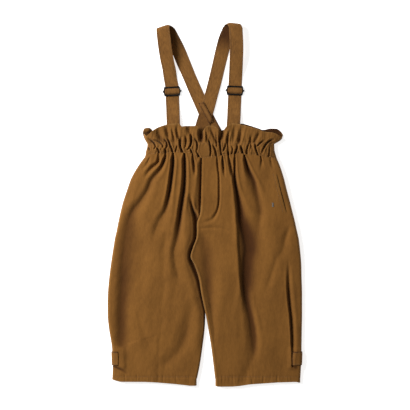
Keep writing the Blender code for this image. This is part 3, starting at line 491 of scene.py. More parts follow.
RIGHT_STRAP_BACK = table_of(
    StrapRow,
    (-81.2, 319.2, -55.8, 327.1, FLAT_Z), (-66, 294, -38.7, 294, FLAT_Z),
    (-53.5, 264.5, -26.5, 264.5, FLAT_Z), (-40.5, 235, -14.5, 235, FLAT_Z), (-28, 205.5, -1.3, 205.5, FLAT_Z),
    (-15, 176, 11.5, 176, FLAT_Z), (-3, 148.5, 25.6, 148.5, FLAT_Z), (-1.2, 144.8, 27.6, 144.8, 1.9),
    (0.3, 141.8, 29.2, 141.8, 2.9), (16, 102.5, 43, 102.5, 2.9),
)
LEFT_STRAP_FRONT = table_of(
    StrapRow,
    (38.5, 102.5, 63.5, 102.5, INSIDE_Z), (40.2, 153.5, 65.2, 153.5, INSIDE_Z), (41, 166, 66, 166, 4.6),
    (41.5, 180, 66.5, 180, 1.4), (42, 190, 67, 190, FLAT_Z), (43.2, 223.5, 68.2, 223.5, FLAT_Z),
    (43.8, 235, 68.8, 235, 1.6), (44.5, 250, 69.5, 250, 6.4), (45, 266, 70, 266, 11.4),
    (45.7, 290, 70.7, 290, FOLD_TOP_Z), (44.2, 327.8, 69.2, 326.2, FOLD_TOP_Z),
)
LEFT_STRAP_BACK = table_of(
    StrapRow,
    (32.8, 329, 57.6, 325.4, FLAT_Z), (25.5, 311, 52.2, 311, FLAT_Z), (20.8, 294, 47.2, 294, FLAT_Z),
    (14, 264.5, 39.5, 264.5, FLAT_Z), (7, 235, 32.5, 235, 1), (2.2, 216, 27.7, 216, 2.8),
    (-0.7, 205.5, 24.8, 205.5, 2.8), (-9.4, 176, 17, 176, 2.8), (-17.8, 148.5, 9.2, 148.5, 2.8),
    (-18.8, 144.8, 8.2, 144.8, 3.9), (-19.5, 141.8, 7.4, 141.8, 4.9), (-27.5, 102.5, -2, 102.5, 4.9),
)


# ---- finishes


FOLD_SHADE_COLOUR = (0.30, 0.22, 0.11)  # painted shade: how much of the cloth's colour stays deep in folds and shadow


class Coordinates(Enum):
    """Where a cloth's weave takes its direction from."""

    LAY = "Object"
    STRIP = "UV"


def new_group(name: str, inputs: Sequence[tuple], outputs: Sequence[tuple]) -> Tree:
    """Start a shader node group.

    Args:
        name: the group's name.
        inputs: name, socket type and default of each input.
        outputs: name and socket type of each output.

    Returns:
        The group's tree, with its input and output nodes made.
    """
    tree = bpy.data.node_groups.new(name, "ShaderNodeTree")
    for label, kind, default in inputs:
        socket = tree.interface.new_socket(name=label, in_out="INPUT", socket_type=kind)
        socket.default_value = default
    for label, kind in outputs:
        tree.interface.new_socket(name=label, in_out="OUTPUT", socket_type=kind)
    tree.nodes.new("NodeGroupInput").name = "in"
    tree.nodes.new("NodeGroupOutput").name = "out"
    return tree


def add_math(tree: Tree, operation: str, first: object, second: object = None) -> object:
    """Add a Math node and return its output socket.

    Args:
        tree: where the node goes.
        operation: the Math node's operation.
        first: a socket or a number.
        second: a socket or a number, where the operation takes two.

    Returns:
        The node's output socket.
    """
    node = tree.nodes.new("ShaderNodeMath")
    node.operation = operation
    for slot, value in enumerate((first, second)):
        if isinstance(value, (int, float)):
            node.inputs[slot].default_value = value
        elif value is not None:
            tree.links.new(value, node.inputs[slot])
    return node.outputs[0]


def add_noise(tree: Tree, place: object, scale: float, detail: float = 2.0) -> bpy.types.Node:
    """Add a Noise Texture node.

    Args:
        tree: where the node goes.
        place: the socket of the place it reads.
        scale: its scale, in features per metre.
        detail: how many finer layers it has.

    Returns:
        The node.
    """
    noise = tree.nodes.new("ShaderNodeTexNoise")
    noise.inputs["Scale"].default_value = scale
    noise.inputs["Detail"].default_value = detail
    tree.links.new(place, noise.inputs["Vector"])
    return noise


def add_spread(tree: Tree, value: object, low: float, high: float) -> object:
    """Add a node that spreads a range over 0 to 1.

    Args:
        tree: where the node goes.
        value: the socket it reads.
        low: the value that becomes 0.
        high: the value that becomes 1.

    Returns:
        The spread value's socket.
    """
    spread = tree.nodes.new("ShaderNodeMapRange")
    spread.inputs["From Min"].default_value = low
    spread.inputs["From Max"].default_value = high
    tree.links.new(value, spread.inputs["Value"])
    return spread.outputs["Result"]


def add_mix(tree: Tree, share: object, first: object, second: object, blend: str = "MIX") -> object:
    """Add a colour mix and return its output socket.

    Args:
        tree: where the node goes.
        share: the socket of the second colour's share.
        first: a socket or a colour.
        second: a socket or a colour.
        blend: how the second colour is laid over the first.

    Returns:
        The mixed colour's socket.
    """
    mix = tree.nodes.new("ShaderNodeMix")
    mix.data_type = "RGBA"
    mix.blend_type = blend
    tree.links.new(share, mix.inputs["Factor"])
    for label, colour in (("A", first), ("B", second)):
        if isinstance(colour, tuple):
            mix.inputs[label].default_value = (*colour, 1.0)
        else:
            tree.links.new(colour, mix.inputs[label])
    return mix.outputs["Result"]


def add_sum(tree: Tree, *parts: tuple[object, float]) -> object:
    """Add up sockets, each times its own weight.

    Args:
        tree: where the nodes go.
        parts: each socket with its weight.

    Returns:
        The sum's socket.
    """
    total = None
    for socket, weight in parts:
        scaled = add_math(tree, "MULTIPLY", socket, weight)
        total = scaled if total is None else add_math(tree, "ADD", total, scaled)
    return total


def weave_group() -> Tree:
    """The twill's slanting ribs: their height and how light each rib is.

    Returns:
        The node group, made once.
    """
    name = "twill_ribs"
    if name in bpy.data.node_groups:
        return bpy.data.node_groups[name]
    tree = new_group(
        name,
        [("Place", "NodeSocketVector", (0.0, 0.0, 0.0)), ("Pitch", "NodeSocketFloat", 0.0007)],
        [("Height", "NodeSocketFloat"), ("Rib", "NodeSocketFloat")],
    )
    source, target = tree.nodes["in"], tree.nodes["out"]
    split = tree.nodes.new("ShaderNodeSeparateXYZ")
    tree.links.new(source.outputs["Place"], split.inputs[0])
    waver = add_noise(tree, source.outputs["Place"], 220.0, 1.0)
    slant = add_math(tree, "ADD", split.outputs[0], add_math(tree, "MULTIPLY", split.outputs[1], 1.3))
    turns = add_math(tree, "DIVIDE", slant, source.outputs["Pitch"])
    turns = add_math(tree, "ADD", turns, add_math(tree, "MULTIPLY", waver.outputs["Fac"], 1.2))
    rib = add_math(tree, "SINE", add_math(tree, "MULTIPLY", turns, 2 * math.pi))
    yarn_turns = add_math(tree, "DIVIDE", split.outputs[0], source.outputs["Pitch"])
    yarn = add_math(tree, "SINE", add_math(tree, "MULTIPLY", yarn_turns, 4 * math.pi))
    tree.links.new(add_sum(tree, (rib, 0.5), (yarn, 0.2)), target.inputs["Height"])
    tree.links.new(add_math(tree, "ADD", add_math(tree, "MULTIPLY", rib, 0.5), 0.5), target.inputs["Rib"])
    return tree


def wash_and_shade_group() -> Tree:
    """How a washed cloth's colour drifts: broad clouds, fine flecks and worn edges, with painted shade that
    darkens it in folds and shadow.

    Returns:
        The node group, made once.
    """
    name = "washed_colour_and_shade"
    if name in bpy.data.node_groups:
        return bpy.data.node_groups[name]
    tree = new_group(
        name,
        [
            ("Place", "NodeSocketVector", (0.0, 0.0, 0.0)),
            ("Deep", "NodeSocketColor", (0.1, 0.05, 0.01, 1.0)),
            ("Pale", "NodeSocketColor", (0.2, 0.1, 0.02, 1.0)),
            ("Worn", "NodeSocketColor", (0.3, 0.15, 0.05, 1.0)),
            ("Wear", "NodeSocketFloat", 0.0),
            ("Fold", "NodeSocketFloat", 0.0),
            ("Rib", "NodeSocketFloat", 0.5),
        ],
        [("Colour", "NodeSocketColor"), ("Fleck", "NodeSocketFloat")],
    )
    source, target = tree.nodes["in"], tree.nodes["out"]
    place = source.outputs["Place"]
    drawn = tree.nodes.new("ShaderNodeMapping")
    drawn.inputs["Scale"].default_value = (1.0, 0.3, 1.0)
    tree.links.new(place, drawn.inputs["Vector"])
    clouds = add_noise(tree, place, 26.0, 3.0).outputs["Fac"]
    flecks = add_noise(tree, place, 900.0).outputs["Fac"]
    slubs = add_noise(tree, drawn.outputs["Vector"], 420.0, 1.0).outputs["Fac"]
    share = add_sum(tree, (clouds, 0.56), (slubs, 0.5), (flecks, 0.28), (source.outputs["Rib"], 0.16))
    share = add_math(tree, "SUBTRACT", share, 0.22)
    tone = add_mix(tree, add_spread(tree, share, 0.3, 0.76), source.outputs["Deep"], source.outputs["Pale"])
    rub = add_math(tree, "MULTIPLY", source.outputs["Wear"], add_math(tree, "ADD", flecks, 0.35))
    worn = add_mix(tree, rub, tone, source.outputs["Worn"])
    # painted shade: the colour is darkened where the cloth lies in folds, seams or shadow
    shaded = add_mix(tree, source.outputs["Fold"], worn, FOLD_SHADE_COLOUR, "MULTIPLY")
    tree.links.new(shaded, target.inputs["Colour"])
    tree.links.new(flecks, target.inputs["Fleck"])
    return tree


def new_material(name: str) -> tuple[Material, Tree, bpy.types.Node]:
    """Make an empty material.

    Args:
        name: the material's name.

    Returns:
        The material, its tree and its Principled shader.
    """
    material = bpy.data.materials.new(name)
    material.use_nodes = True
    tree = material.node_tree
    return material, tree, tree.nodes["Principled BSDF"]


@dataclass(frozen=True)
class Twill:
    """A cotton twill: its colours and how its ribs run."""

    name: str
    deep: tuple[float, float, float]
    pale: tuple[float, float, float]
    worn: tuple[float, float, float]
    pitch: float = 0.0008
    coordinates: Coordinates = Coordinates.LAY
    rib_height: float = 0.00006

    def material(self) -> Material:
        """Make the cloth's material, or return it if it is made.

        Returns:
            The material.
        """
        if self.name in bpy.data.materials:
            return bpy.data.materials[self.name]
        material, tree, shader = new_material(self.name)
        where = tree.nodes.new("ShaderNodeTexCoord").outputs[self.coordinates.value]
        weave = tree.nodes.new("ShaderNodeGroup")
        weave.node_tree = weave_group()
        weave.inputs["Pitch"].default_value = self.pitch
        tree.links.new(where, weave.inputs["Place"])
        wash_and_shade = tree.nodes.new("ShaderNodeGroup")
        wash_and_shade.node_tree = wash_and_shade_group()
        for label, colour in (("Deep", self.deep), ("Pale", self.pale), ("Worn", self.worn)):
            wash_and_shade.inputs[label].default_value = (*colour, 1.0)
        tree.links.new(where, wash_and_shade.inputs["Place"])
        tree.links.new(weave.outputs["Rib"], wash_and_shade.inputs["Rib"])
        # the first attribute is the rubbed edges, the second the painted shade in folds and shadow
        for label in ("Wear", "Fold"):
            shade = tree.nodes.new("ShaderNodeAttribute")
            shade.attribute_name = label.lower()
            tree.links.new(shade.outputs["Fac"], wash_and_shade.inputs[label])
        tree.links.new(wash_and_shade.outputs["Colour"], shader.inputs["Base Color"])
        rough = add_math(tree, "ADD", add_math(tree, "MULTIPLY", wash_and_shade.outputs["Fleck"], 0.12), 0.82)
        tree.links.new(rough, shader.inputs["Roughness"])
        bump = tree.nodes.new("ShaderNodeBump")
        bump.inputs["Strength"].default_value = 0.5
        bump.inputs["Distance"].default_value = self.rib_height
        tree.links.new(weave.outputs["Height"], bump.inputs["Height"])
        tree.links.new(bump.outputs["Normal"], shader.inputs["Normal"])
        shader.inputs["Specular IOR Level"].default_value = 0.18
        shader.inputs["Sheen Weight"].default_value = 0.12
        shader.inputs["Sheen Roughness"].default_value = 0.5
        shader.inputs["Sheen Tint"].default_value = (0.9, 0.7, 0.45, 1.0)
        return material


@dataclass(frozen=True)
class Thread:
    """Sewing thread: twisted plies with a slight shine."""

    name: str
    colour: tuple[float, float, float]

    def material(self) -> Material:
        """Make the thread's material, or return it if it is made.

        Returns:
            The material.
        """
        if self.name in bpy.data.materials:
            return bpy.data.materials[self.name]
        material, tree, shader = new_material(self.name)
        place = tree.nodes.new("ShaderNodeTexCoord").outputs["Object"]
        plies = add_noise(tree, place, 2500.0)
        deep, pale = (tuple(part * share for part in self.colour) for share in (0.6, 1.4))
        tree.links.new(add_mix(tree, plies.outputs["Fac"], deep, pale), shader.inputs["Base Color"])
        shader.inputs["Roughness"].default_value = 0.6
        return material


@dataclass(frozen=True)
class CoatedWire:
    """Steel wire with a black coat that is rubbed thin in places."""

    name: str
    coat: tuple[float, float, float]
    rubbed: tuple[float, float, float]

    def material(self) -> Material:
        """Make the wire's material, or return it if it is made.

        Returns:
            The material.
        """
        if self.name in bpy.data.materials:
            return bpy.data.materials[self.name]
        material, tree, shader = new_material(self.name)
        place = tree.nodes.new("ShaderNodeTexCoord").outputs["Object"]
        rubs = add_noise(tree, place, 350.0, 4.0)
        tone = add_mix(tree, add_spread(tree, rubs.outputs["Fac"], 0.58, 0.72), self.coat, self.rubbed)
        tree.links.new(tone, shader.inputs["Base Color"])
        rough = add_math(tree, "ADD", add_math(tree, "MULTIPLY", rubs.outputs["Fac"], 0.25), 0.4)
        tree.links.new(rough, shader.inputs["Roughness"])
        shader.inputs["Metallic"].default_value = 0.1
        shader.inputs["Specular IOR Level"].default_value = 0.16
        return material


LEG_TWILL = Twill("rust_twill", (0.146, 0.0600, 0.0098), (0.204, 0.0865, 0.0150), (0.25, 0.13, 0.034))
# a shade darker than the legs' twill, as painted shade on the gathered waist
SHADED_WAIST_TWILL = Twill(
    "rust_twill_shaded", (0.138, 0.0575, 0.0100), (0.194, 0.0840, 0.0155), (0.24, 0.125, 0.038)
)
STRAP_TWILL = Twill(
    "rust_strap_twill",
    (0.106, 0.0445, 0.0095),
    (0.236, 0.1050, 0.0230),
    (0.25, 0.13, 0.045),
    pitch=0.0007,
    coordinates=Coordinates.STRIP,
)
POCKET_TWILL = Twill(
    "rust_pocket_cotton", (0.11, 0.05, 0.013), (0.15, 0.07, 0.018), (0.2, 0.1, 0.04), pitch=0.0005
)
SEWING_THREAD = Thread("rust_thread", (0.17, 0.085, 0.026))
PLAIN_TACK = Thread("grey_tack_thread", (0.16, 0.15, 0.14))
SLIDER_COAT = CoatedWire("black_coated_wire", (0.004, 0.0036, 0.0032), (0.016, 0.0145, 0.013))


# ---- cloth


def crease_depth(
    creases: Sequence[Sequence[Sequence[float]]], x: Points, y: Points, pinch: Optional[Points] = None
) -> Points:
    """How far the creases take the cloth down, less the soft swell beside each.

    Args:
        creases: the knots of each valley.
        x: places across, mm.
        y: places along, mm.
        pinch: how much narrower the creases are at each place, or None.

    Returns:
        The depth at each place, mm.
    """
    power = np.zeros_like(x)
    swell = np.zeros_like(x)
    for knots in creases:
        rows = np.array(knots, dtype=float)
        along = steps_along(rows[:, :2])
        marks = np.linspace(0.0, along[-1], int(along[-1] / 3.5) + 3)
        path = np.stack([curve_through(marks, along, rows[:, k]) for k in range(5)], axis=-1)
        reach = 3.3 * path[:, 3:].max()
        near = (x > path[:, 0].min() - reach) & (x < path[:, 0].max() + reach)
        near &= (y > path[:, 1].min() - reach) & (y < path[:, 1].max() + reach)
        px, py = x[near], y[near]
        best = np.full(px.shape, 1e9)
        deep, half = np.zeros_like(px), np.ones_like(px)
        for start, end in zip(path[:-1], path[1:]):
            dx, dy = end[:2] - start[:2]
            share = np.clip(((px - start[0]) * dx + (py - start[1]) * dy) / (dx * dx + dy * dy), 0.0, 1.0)
            away_x, away_y = px - start[0] - share * dx, py - start[1] - share * dy
            away = np.hypot(away_x, away_y)
            lean = (dx * away_y - dy * away_x) / (math.hypot(dx, dy) * np.maximum(away, 1e-6))
            here = start + (end - start) * share[:, None]
            width = here[:, 3] + (here[:, 4] - here[:, 3]) * (0.5 + 0.5 * lean)
            nearer = away < best
            best = np.where(nearer, away, best)
            deep, half = np.where(nearer, here[:, 2], deep), np.where(nearer, width, half)
        q = best / half if pinch is None else best / (half * pinch[near])
        power[near] += (np.maximum(deep, 0.0) * np.exp(-(q**1.7))) ** 2.5
        swell[near] += deep * 0.13 * np.exp(-(((q - 2.1) / 0.85) ** 2))
    return power**0.4 - swell


def grid_normals(points: Points) -> Points:
    """Unit normals of a grid whose rows run down and whose columns run along +X."""
    normals = np.cross(np.gradient(points, axis=0), np.gradient(points, axis=1))
    return normals / np.linalg.norm(normals, axis=-1, keepdims=True)


def seam_sway(x: Points) -> Points:
    """How far the gathers pull the seam below the casing up or down, mm."""
    drawn = curve_through(x, [place for place, _ in SEAM_DRAW], [rise for _, rise in SEAM_DRAW])
    return drawn + 0.9 * waves(x, 0 * x, 19.0, 41) + 0.8 * waves(x, 0 * x, 8.0, 42)


def level_rows(normals: Points, rows: Sequence[int]) -> None:
    """Keep the offsets of some rows square to the seam they lie on.

    Args:
        normals: a grid's normals, changed in place.
        rows: the rows.
    """
    for row in rows:
        normals[row, :, 1] = 0.0
        normals[row] /= np.linalg.norm(normals[row], axis=-1, keepdims=True)


@dataclass
class ClothSheet:
    """A sheet of cloth, held as a grid of points and the way out from each.

    Attributes:
        name: the piece's name.
        points: rows x columns x 3, mm.
        normals: the way out at each point.
        upper: how far out the cloth's outside is.
        lower: how far out its inside is.
        hole: cells that are left open, or None.
        wear: how rubbed each point is, from 0 to 1, or None.
        fold: painted shade at each point, from 0 where it is open to the light to 1 deep in folds and shadow,
            or None.
    """

    name: str
    points: Points
    normals: Points
    upper: object
    lower: object
    hole: Optional[Points] = None
    wear: Optional[Points] = None
    fold: Optional[Points] = None

    def outside(self) -> Points:
        """The points of the cloth's outside."""
        return self.points + self.normals * np.asarray(self.upper)[..., None]

    def _faces(self) -> list[tuple[int, ...]]:
        """Quads of both faces and of the rim between them.

        Returns:
            The corners of each face.
        """
        rows, columns = self.points.shape[:2]
        size = rows * columns
        index = np.arange(size).reshape(rows, columns)
        a, b, c, d = index[:-1, :-1], index[1:, :-1], index[1:, 1:], index[:-1, 1:]
        quads = np.stack([a, b, c, d], axis=-1)
        if self.hole is not None:
            quads = quads[~self.hole]
        quads = quads.reshape(-1, 4)
        starts, ends = quads.ravel(), np.roll(quads, -1, axis=1).ravel()
        keys = np.sort(np.stack([starts, ends], axis=1), axis=1)
        codes = keys[:, 0].astype(np.int64) * size + keys[:, 1]
        _, first, counts = np.unique(codes, return_index=True, return_counts=True)
        faces = quads.tolist() + (quads[:, ::-1] + size).tolist()
        for place in first[counts == 1]:
            start, end = int(starts[place]), int(ends[place])
            faces.append([end, start, size + start, size + end])
        return faces

    def build(self, material: Material) -> Piece:
        """Make the closed mesh, with a UV map along the cloth, its wear and its painted shade.

        Args:
            material: the cloth's material.

        Returns:
            The new object.
        """
        rows, columns = self.points.shape[:2]
        inside = self.points + self.normals * np.asarray(self.lower)[..., None]
        layers = np.concatenate([self.outside().reshape(-1, 3), inside.reshape(-1, 3)])
        across = np.linalg.norm(np.diff(self.points, axis=1), axis=-1)
        down = np.linalg.norm(np.diff(self.points, axis=0), axis=-1)
        u = np.concatenate([np.zeros((rows, 1)), np.cumsum(across, axis=1)], axis=1)
        v = np.concatenate([np.zeros((1, columns)), np.cumsum(down, axis=0)], axis=0)
        uv = np.tile(np.stack([u, -v], axis=-1).reshape(-1, 2) * MM, (2, 1))
        mesh = bpy.data.meshes.new(self.name)
        mesh.from_pydata(((layers - MIDDLE) * MM).tolist(), [], self._faces())
        corner_points = np.empty(len(mesh.loops), dtype=np.int32)
        mesh.loops.foreach_get("vertex_index", corner_points)
        layer = mesh.uv_layers.new(name="along_cloth")
        layer.data.foreach_set("uv", uv[corner_points].ravel().astype(np.float32))
        for label, values in (("wear", self.wear), ("fold", self.fold)):
            values = np.zeros((rows, columns)) if values is None else values
            shades = mesh.attributes.new(label, "FLOAT", "POINT")
            shades.data.foreach_set("value", np.tile(values.ravel(), 2).astype(np.float32))
        mesh.materials.append(material)
        piece = bpy.data.objects.new(self.name, mesh)
        bpy.context.scene.collection.objects.link(piece)
        tidy_shell(mesh, 50.0)
        return piece


def tidy_shell(mesh: bpy.types.Mesh, angle: float) -> None:
    """Drop unused points, turn the faces out and shade the shell smooth up to an angle.

    Args:
        mesh: the shell.
        angle: edges sharper than this stay sharp, degrees.
    """
    bm = bmesh.new()
    bm.from_mesh(mesh)
    bmesh.ops.delete(bm, geom=[v for v in bm.verts if not v.link_faces], context="VERTS")
    bmesh.ops.recalc_face_normals(bm, faces=bm.faces)
    bm.to_mesh(mesh)
    bm.free()
    mesh.shade_smooth()
    mesh.set_sharp_from_angle(angle=math.radians(angle))


@dataclass
class StitchRun:
    """A row of stitches along a path on the cloth.

    Attributes:
        path: points along the row, mm.
        normals: the way out of the cloth at each.
        length: length of one stitch, mm.
        pitch: distance from one stitch to the next, mm.
        radius: half the thread's width, mm.
    """

    path: Points
    normals: Points
    length: float = 2.3
    pitch: float = 3.1
    radius: float = 0.32

    def grains(self) -> list[tuple[Points, Points]]:
        """The two ends of each stitch, with the way out of the cloth.

        Returns:
            One pair for each stitch.
        """
        along = steps_along(self.path)
        starts = np.arange(0.6, along[-1] - self.length, self.pitch)
        grains = []
        for start in starts:
            marks = np.array([start, start + self.length])
            ends = np.stack([np.interp(marks, along, self.path[:, k]) for k in range(3)], axis=1)
            out = np.array([np.interp(marks.mean(), along, self.normals[:, k]) for k in range(3)])
            grains.append((ends, out / np.linalg.norm(out)))
        return grains


GRAIN_SIDES = 6
GRAIN_RINGS = ((0.0, 0.45), (0.22, 1.0), (0.78, 1.0), (1.0, 0.45))  # share of a stitch, share of its width


def build_stitches(name: str, runs: Sequence[StitchRun], finish: Thread) -> Piece:
    """Make one object of many stitches, each a small rounded grain.

    Args:
        name: the piece's name.
        runs: the rows of stitches.
        finish: the thread.

    Returns:
        The new object.
    """
    points: list[Points] = []
    faces: list[list[int]] = []
    for run in runs:
        for ends, out in run.grains():
            way = (ends[1] - ends[0]) / np.linalg.norm(ends[1] - ends[0])
            side = np.cross(way, out)
            side /= np.linalg.norm(side)
            base = len(points)
            lift = out * run.radius * 0.25
            for share, size in GRAIN_RINGS:
                centre = ends[0] + (ends[1] - ends[0]) * share + lift
                for k in range(GRAIN_SIDES):
                    angle = 2 * math.pi * k / GRAIN_SIDES
                    spoke = side * math.cos(angle) + out * math.sin(angle)
                    points.append(centre + spoke * run.radius * size)
            for level in range(len(GRAIN_RINGS) - 1):
                for k in range(GRAIN_SIDES):
                    first = base + level * GRAIN_SIDES
                    a, b = first + k, first + (k + 1) % GRAIN_SIDES
                    faces.append([a, a + GRAIN_SIDES, b + GRAIN_SIDES, b])
            faces.append([base + k for k in range(GRAIN_SIDES)])
            last = base + (len(GRAIN_RINGS) - 1) * GRAIN_SIDES
            faces.append([last + k for k in reversed(range(GRAIN_SIDES))])
    mesh = bpy.data.meshes.new(name)
    mesh.from_pydata(((np.array(points) - MIDDLE) * MM).tolist(), [], faces)
    mesh.materials.append(finish.material())
    piece = bpy.data.objects.new(name, mesh)
    bpy.context.scene.collection.objects.link(piece)
    tidy_shell(mesh, 75.0)
    return piece


def hand_over(piece: Piece, slot: str, *nodes: str) -> None:
    """Say what a finished piece rides on, and hide the solids it stands for.

    Args:
        piece: the piece.
        slot: the record's material slot; not used.
        nodes: the CAD nodes that it replaces.
    """
    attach(piece, "root")
    for node in nodes:
        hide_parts(node)
    log.info("%s: %d faces", piece.name, len(piece.data.polygons))


# ---- legs


@dataclass(frozen=True)
class LegCut:
    """What differs between the two legs' cloths.

    Attributes:
        creases: the front's creases.
        pleat: the pleat at the outer end of the hem.
        seed: picks the front's soft waves.
        soft_share: how much of the rise from the side seam is a long slope.
        tab_front: how many of the front's columns the hem tab covers.
        front_width: the front's flat width, m; not used.
        front_area: the front's flat area, m2; not used.
        back_width: the back's flat width, m; not used.
        back_area: the back's flat area, m2; not used.
    """

    creases: Sequence[Sequence[Sequence[float]]]
    pleat: Sequence[Sequence[float]]
    seed: int
    soft_share: float
    tab_front: int
    front_width: float
    front_area: float
    back_width: float
    back_area: float


LEG_CUTS = {
    Side.RIGHT: LegCut(RIGHT_CREASES, RIGHT_HEM_PLEAT, 8, 0.28, 10, 0.19, 0.066, 0.185, 0.064),
    Side.LEFT: LegCut(LEFT_CREASES, LEFT_HEM_PLEAT, 3, 0.1, 15, 0.215, 0.074, 0.21, 0.072),
}
SLIT_COLUMNS = (11.5, 12.5)
FRONT_NEAR_SIDE = (0.0, 0.3, 0.8, 1.5, 2.4, 3.6, 5.0, 6.6, 8.4, 10.2, *SLIT_COLUMNS, 13.8, 15.6, 17.5)
FRONT_NEAR_INNER = (6.4, 4.6, 3.4, 2.4, 1.6, 1.0, 0.6, 0.3, 0.12, 0.0)
BACK_NEAR_SIDE = (0.0, 0.25, 0.7, 1.3, 2.0, 2.8, 4.5, 9.0, 17.5, 26.0)
BACK_NEAR_INNER = (6.0, 2.8, 2.0, 1.3, 0.7, 0.25, 0.0)
BACK_TAB_COLUMNS = 9
HEM_ROWS = 5
TAB_ROWS = 22


@dataclass
class Leg:
    """One leg of the trousers: its front, its back, its hem tab and its stitches.

    Attributes:
        side: the wearer's side.
        rows: rows of the front's grid above the hem.
        columns: the front's columns, apart from those near its seams.
        back_rows: rows of the back's grid above the hem.
        back_columns: the back's columns, apart from those near its seams.
    """

    side: Side
    rows: int = 225
    columns: int = 134
    back_rows: int = 84
    back_columns: int = 22

    def table(self, y: Points, field: str) -> Points:
        """Read an edge of this leg at some heights.

        Args:
            y: the heights, mm.
            field: "side" or "inner".

        Returns:
            The edge's x at each height.
        """
        levels = LEG_LEVELS[::-1]
        name = f"{self.side.value}_{field}"
        return curve_through(y, [row.y for row in levels], [getattr(row, name) for row in levels])

    def loft(self, y: Points, field: str) -> Points:
        """Read the front's height table at some heights."""
        levels = LOFTS[::-1]
        return curve_through(y, [row.y for row in levels], [getattr(row, field) for row in levels])

    def lift(self, side_distance: Points, y: Points) -> Points:
        """How far the leg stands off the ground over its hem tab.

        Args:
            side_distance: distance from the side seam.
            y: places along, mm.

        Returns:
            The lift at each place, mm.
        """
        foot, top, reach = TAB_FOOT - TAB_BLEND, TAB_TOP + TAB_BLEND, TAB_REACH + 10.0
        along = ease(y, foot, foot + 9.0) * ease(y, top, top - 9.0)
        return TAB_LIFT * along * ease(side_distance, reach, reach - 8.0)

    def plan(
        self, near_side: Sequence[float], near_inner: Sequence[float], rows: int, columns: int
    ) -> Points:
        """Lay out a panel's grid.

        Args:
            near_side: distances of the first columns in from the side seam.
            near_inner: distances of the last columns from the inner seam, falling to 0.
            rows: rows above the hem's own.
            columns: columns between those.

        Returns:
            Rows x columns x 4: x, y, distance from the side seam and from the inner seam.
        """
        levels = np.concatenate([np.linspace(WAIST_Y, HEM_TOP, rows), np.full(HEM_ROWS, HEM_FOOT)])
        hem_share = np.concatenate([np.zeros(rows), np.linspace(0.0, 1.0, HEM_ROWS + 1)[1:]])
        side = self.table(levels, "side")
        inner = self.table(levels, "inner")
        grid = []
        for y, share, edge, middle in zip(levels, hem_share, side, inner):
            width = abs(edge - middle)
            between = np.linspace(near_side[-1], width - near_inner[0], columns + 2)[1:-1]
            steps = np.concatenate([near_side, between, width - np.array(near_inner)])
            x = edge - self.side.outward * steps
            hem = np.interp(x, [p.x for p in HEM], [p.y for p in HEM])
            height = np.full_like(x, y) if share == 0.0 else HEM_TOP + (hem - HEM_TOP) * share
            grid.append(np.stack([x, height, steps, width - steps], axis=-1))
        grid = np.array(grid)
        return grid[:, ::-1] if self.side is Side.LEFT else grid

    def relief(self, x: Points, y: Points, side: Points, inner: Points, sway: Points) -> Points:
        """Height of the front's outside.

        Args:
            x: places across, mm.
            y: places along, mm.
            side: distance from the side seam.
            inner: distance from the inner seam.
            sway: how far the gathers pull each place up, mm.

        Returns:
            The height at each place, mm.
        """
        cut = LEG_CUTS[self.side]
        window = roll(side, 10.0)
        below = ease(y, WAIST_Y, WAIST_Y - 13.0)
        seen_y = np.minimum(y + sway, CREASE_TOP)
        depth = crease_depth(cut.creases, x, seen_y, 0.5 + 0.5 * below) * window * (0.72 + 0.28 * below)
        swell = 0.45 * waves(x, y * 0.3, 34.0, cut.seed) + 0.13 * waves(x, y * 0.5, 12.0, cut.seed + 1)
        z = soft_floor(self.loft(y, "top") - depth + swell * window * smooth(inner / 5.0), SKIN_LOW)
        hem = 0.5 * ease(y, HEM_STITCH_Y, HEM_STITCH_Y - 1.2) - 0.7 * bell(y, HEM_STITCH_Y, 1.0)
        pucker = 0.28 * waves(x, y * 0.3, 7.0, cut.seed + 2) * bell(y, HEM_STITCH_Y - 5.0, 8.0)
        z = z + (hem + pucker) * smooth(side / 6.0) * smooth(inner / 4.0)
        rise = (1.0 - cut.soft_share) * roll(side, 4.5) + cut.soft_share * smooth(side / 18.0)
        z = SEAM_Z + GAP + (z - SEAM_Z - GAP) * rise
        edge = self.loft(y, f"{self.side.value}_edge")
        lip = 0.5 * bell(inner, 3.4, 1.6) if self.side is Side.LEFT else 0.0
        z = edge + (z + lip - edge) * roll(inner, self.loft(y, f"{self.side.value}_roll"))
        return z + self.lift(side, y)

    def front_sheet(self) -> ClothSheet:
        """The front panel, with the pocket's slit on the wearer's left.

        Returns:
            The panel's sheet.
        """
        left = self.side is Side.LEFT
        cut = LEG_CUTS[self.side]
        plan = self.plan(FRONT_NEAR_SIDE, FRONT_NEAR_INNER, self.rows, self.columns)
        hole = self.open_slit(plan) if left else None
        x, y, side, inner = (plan[..., k] for k in range(4))
        near_waist = ease(y, WAIST_Y - GATHER_REACH, WAIST_Y)
        sway = seam_sway(x) * near_waist * smooth(side / 8.0) * smooth(inner / 5.0)
        pleat = crease_depth([cut.pleat], x, y)
        z = self.relief(x, y, side, inner, sway)
        if left:
            mouth = ease(y, 60.0, 52.0) * ease(y, -16.0, -8.0)
            z = z + 0.7 * mouth * bell(side, 14.6, 2.2) * (side > SLIT_INSET)
            z = z - 0.5 * mouth * bell(side, 10.5, 1.6) * (side < SLIT_INSET)
        z = z - 2.0 * pleat * smooth(side / 2.0)
        points = np.stack([x, y + sway, z], axis=-1)
        normals = grid_normals(points)
        self.set_edges(normals, np.ones(len(points)))
        wear = self.front_wear(y, side, inner)
        # painted shade in the creases, stronger in the hem's pleat
        fold = np.clip(self.front_fold_shade(y, z, side, inner) + 0.9 * pleat, 0.0, 1.0)
        name = f"front_panel_{self.side.value}"
        return ClothSheet(name, points, normals, 0.0, -CLOTH, hole, wear, fold)

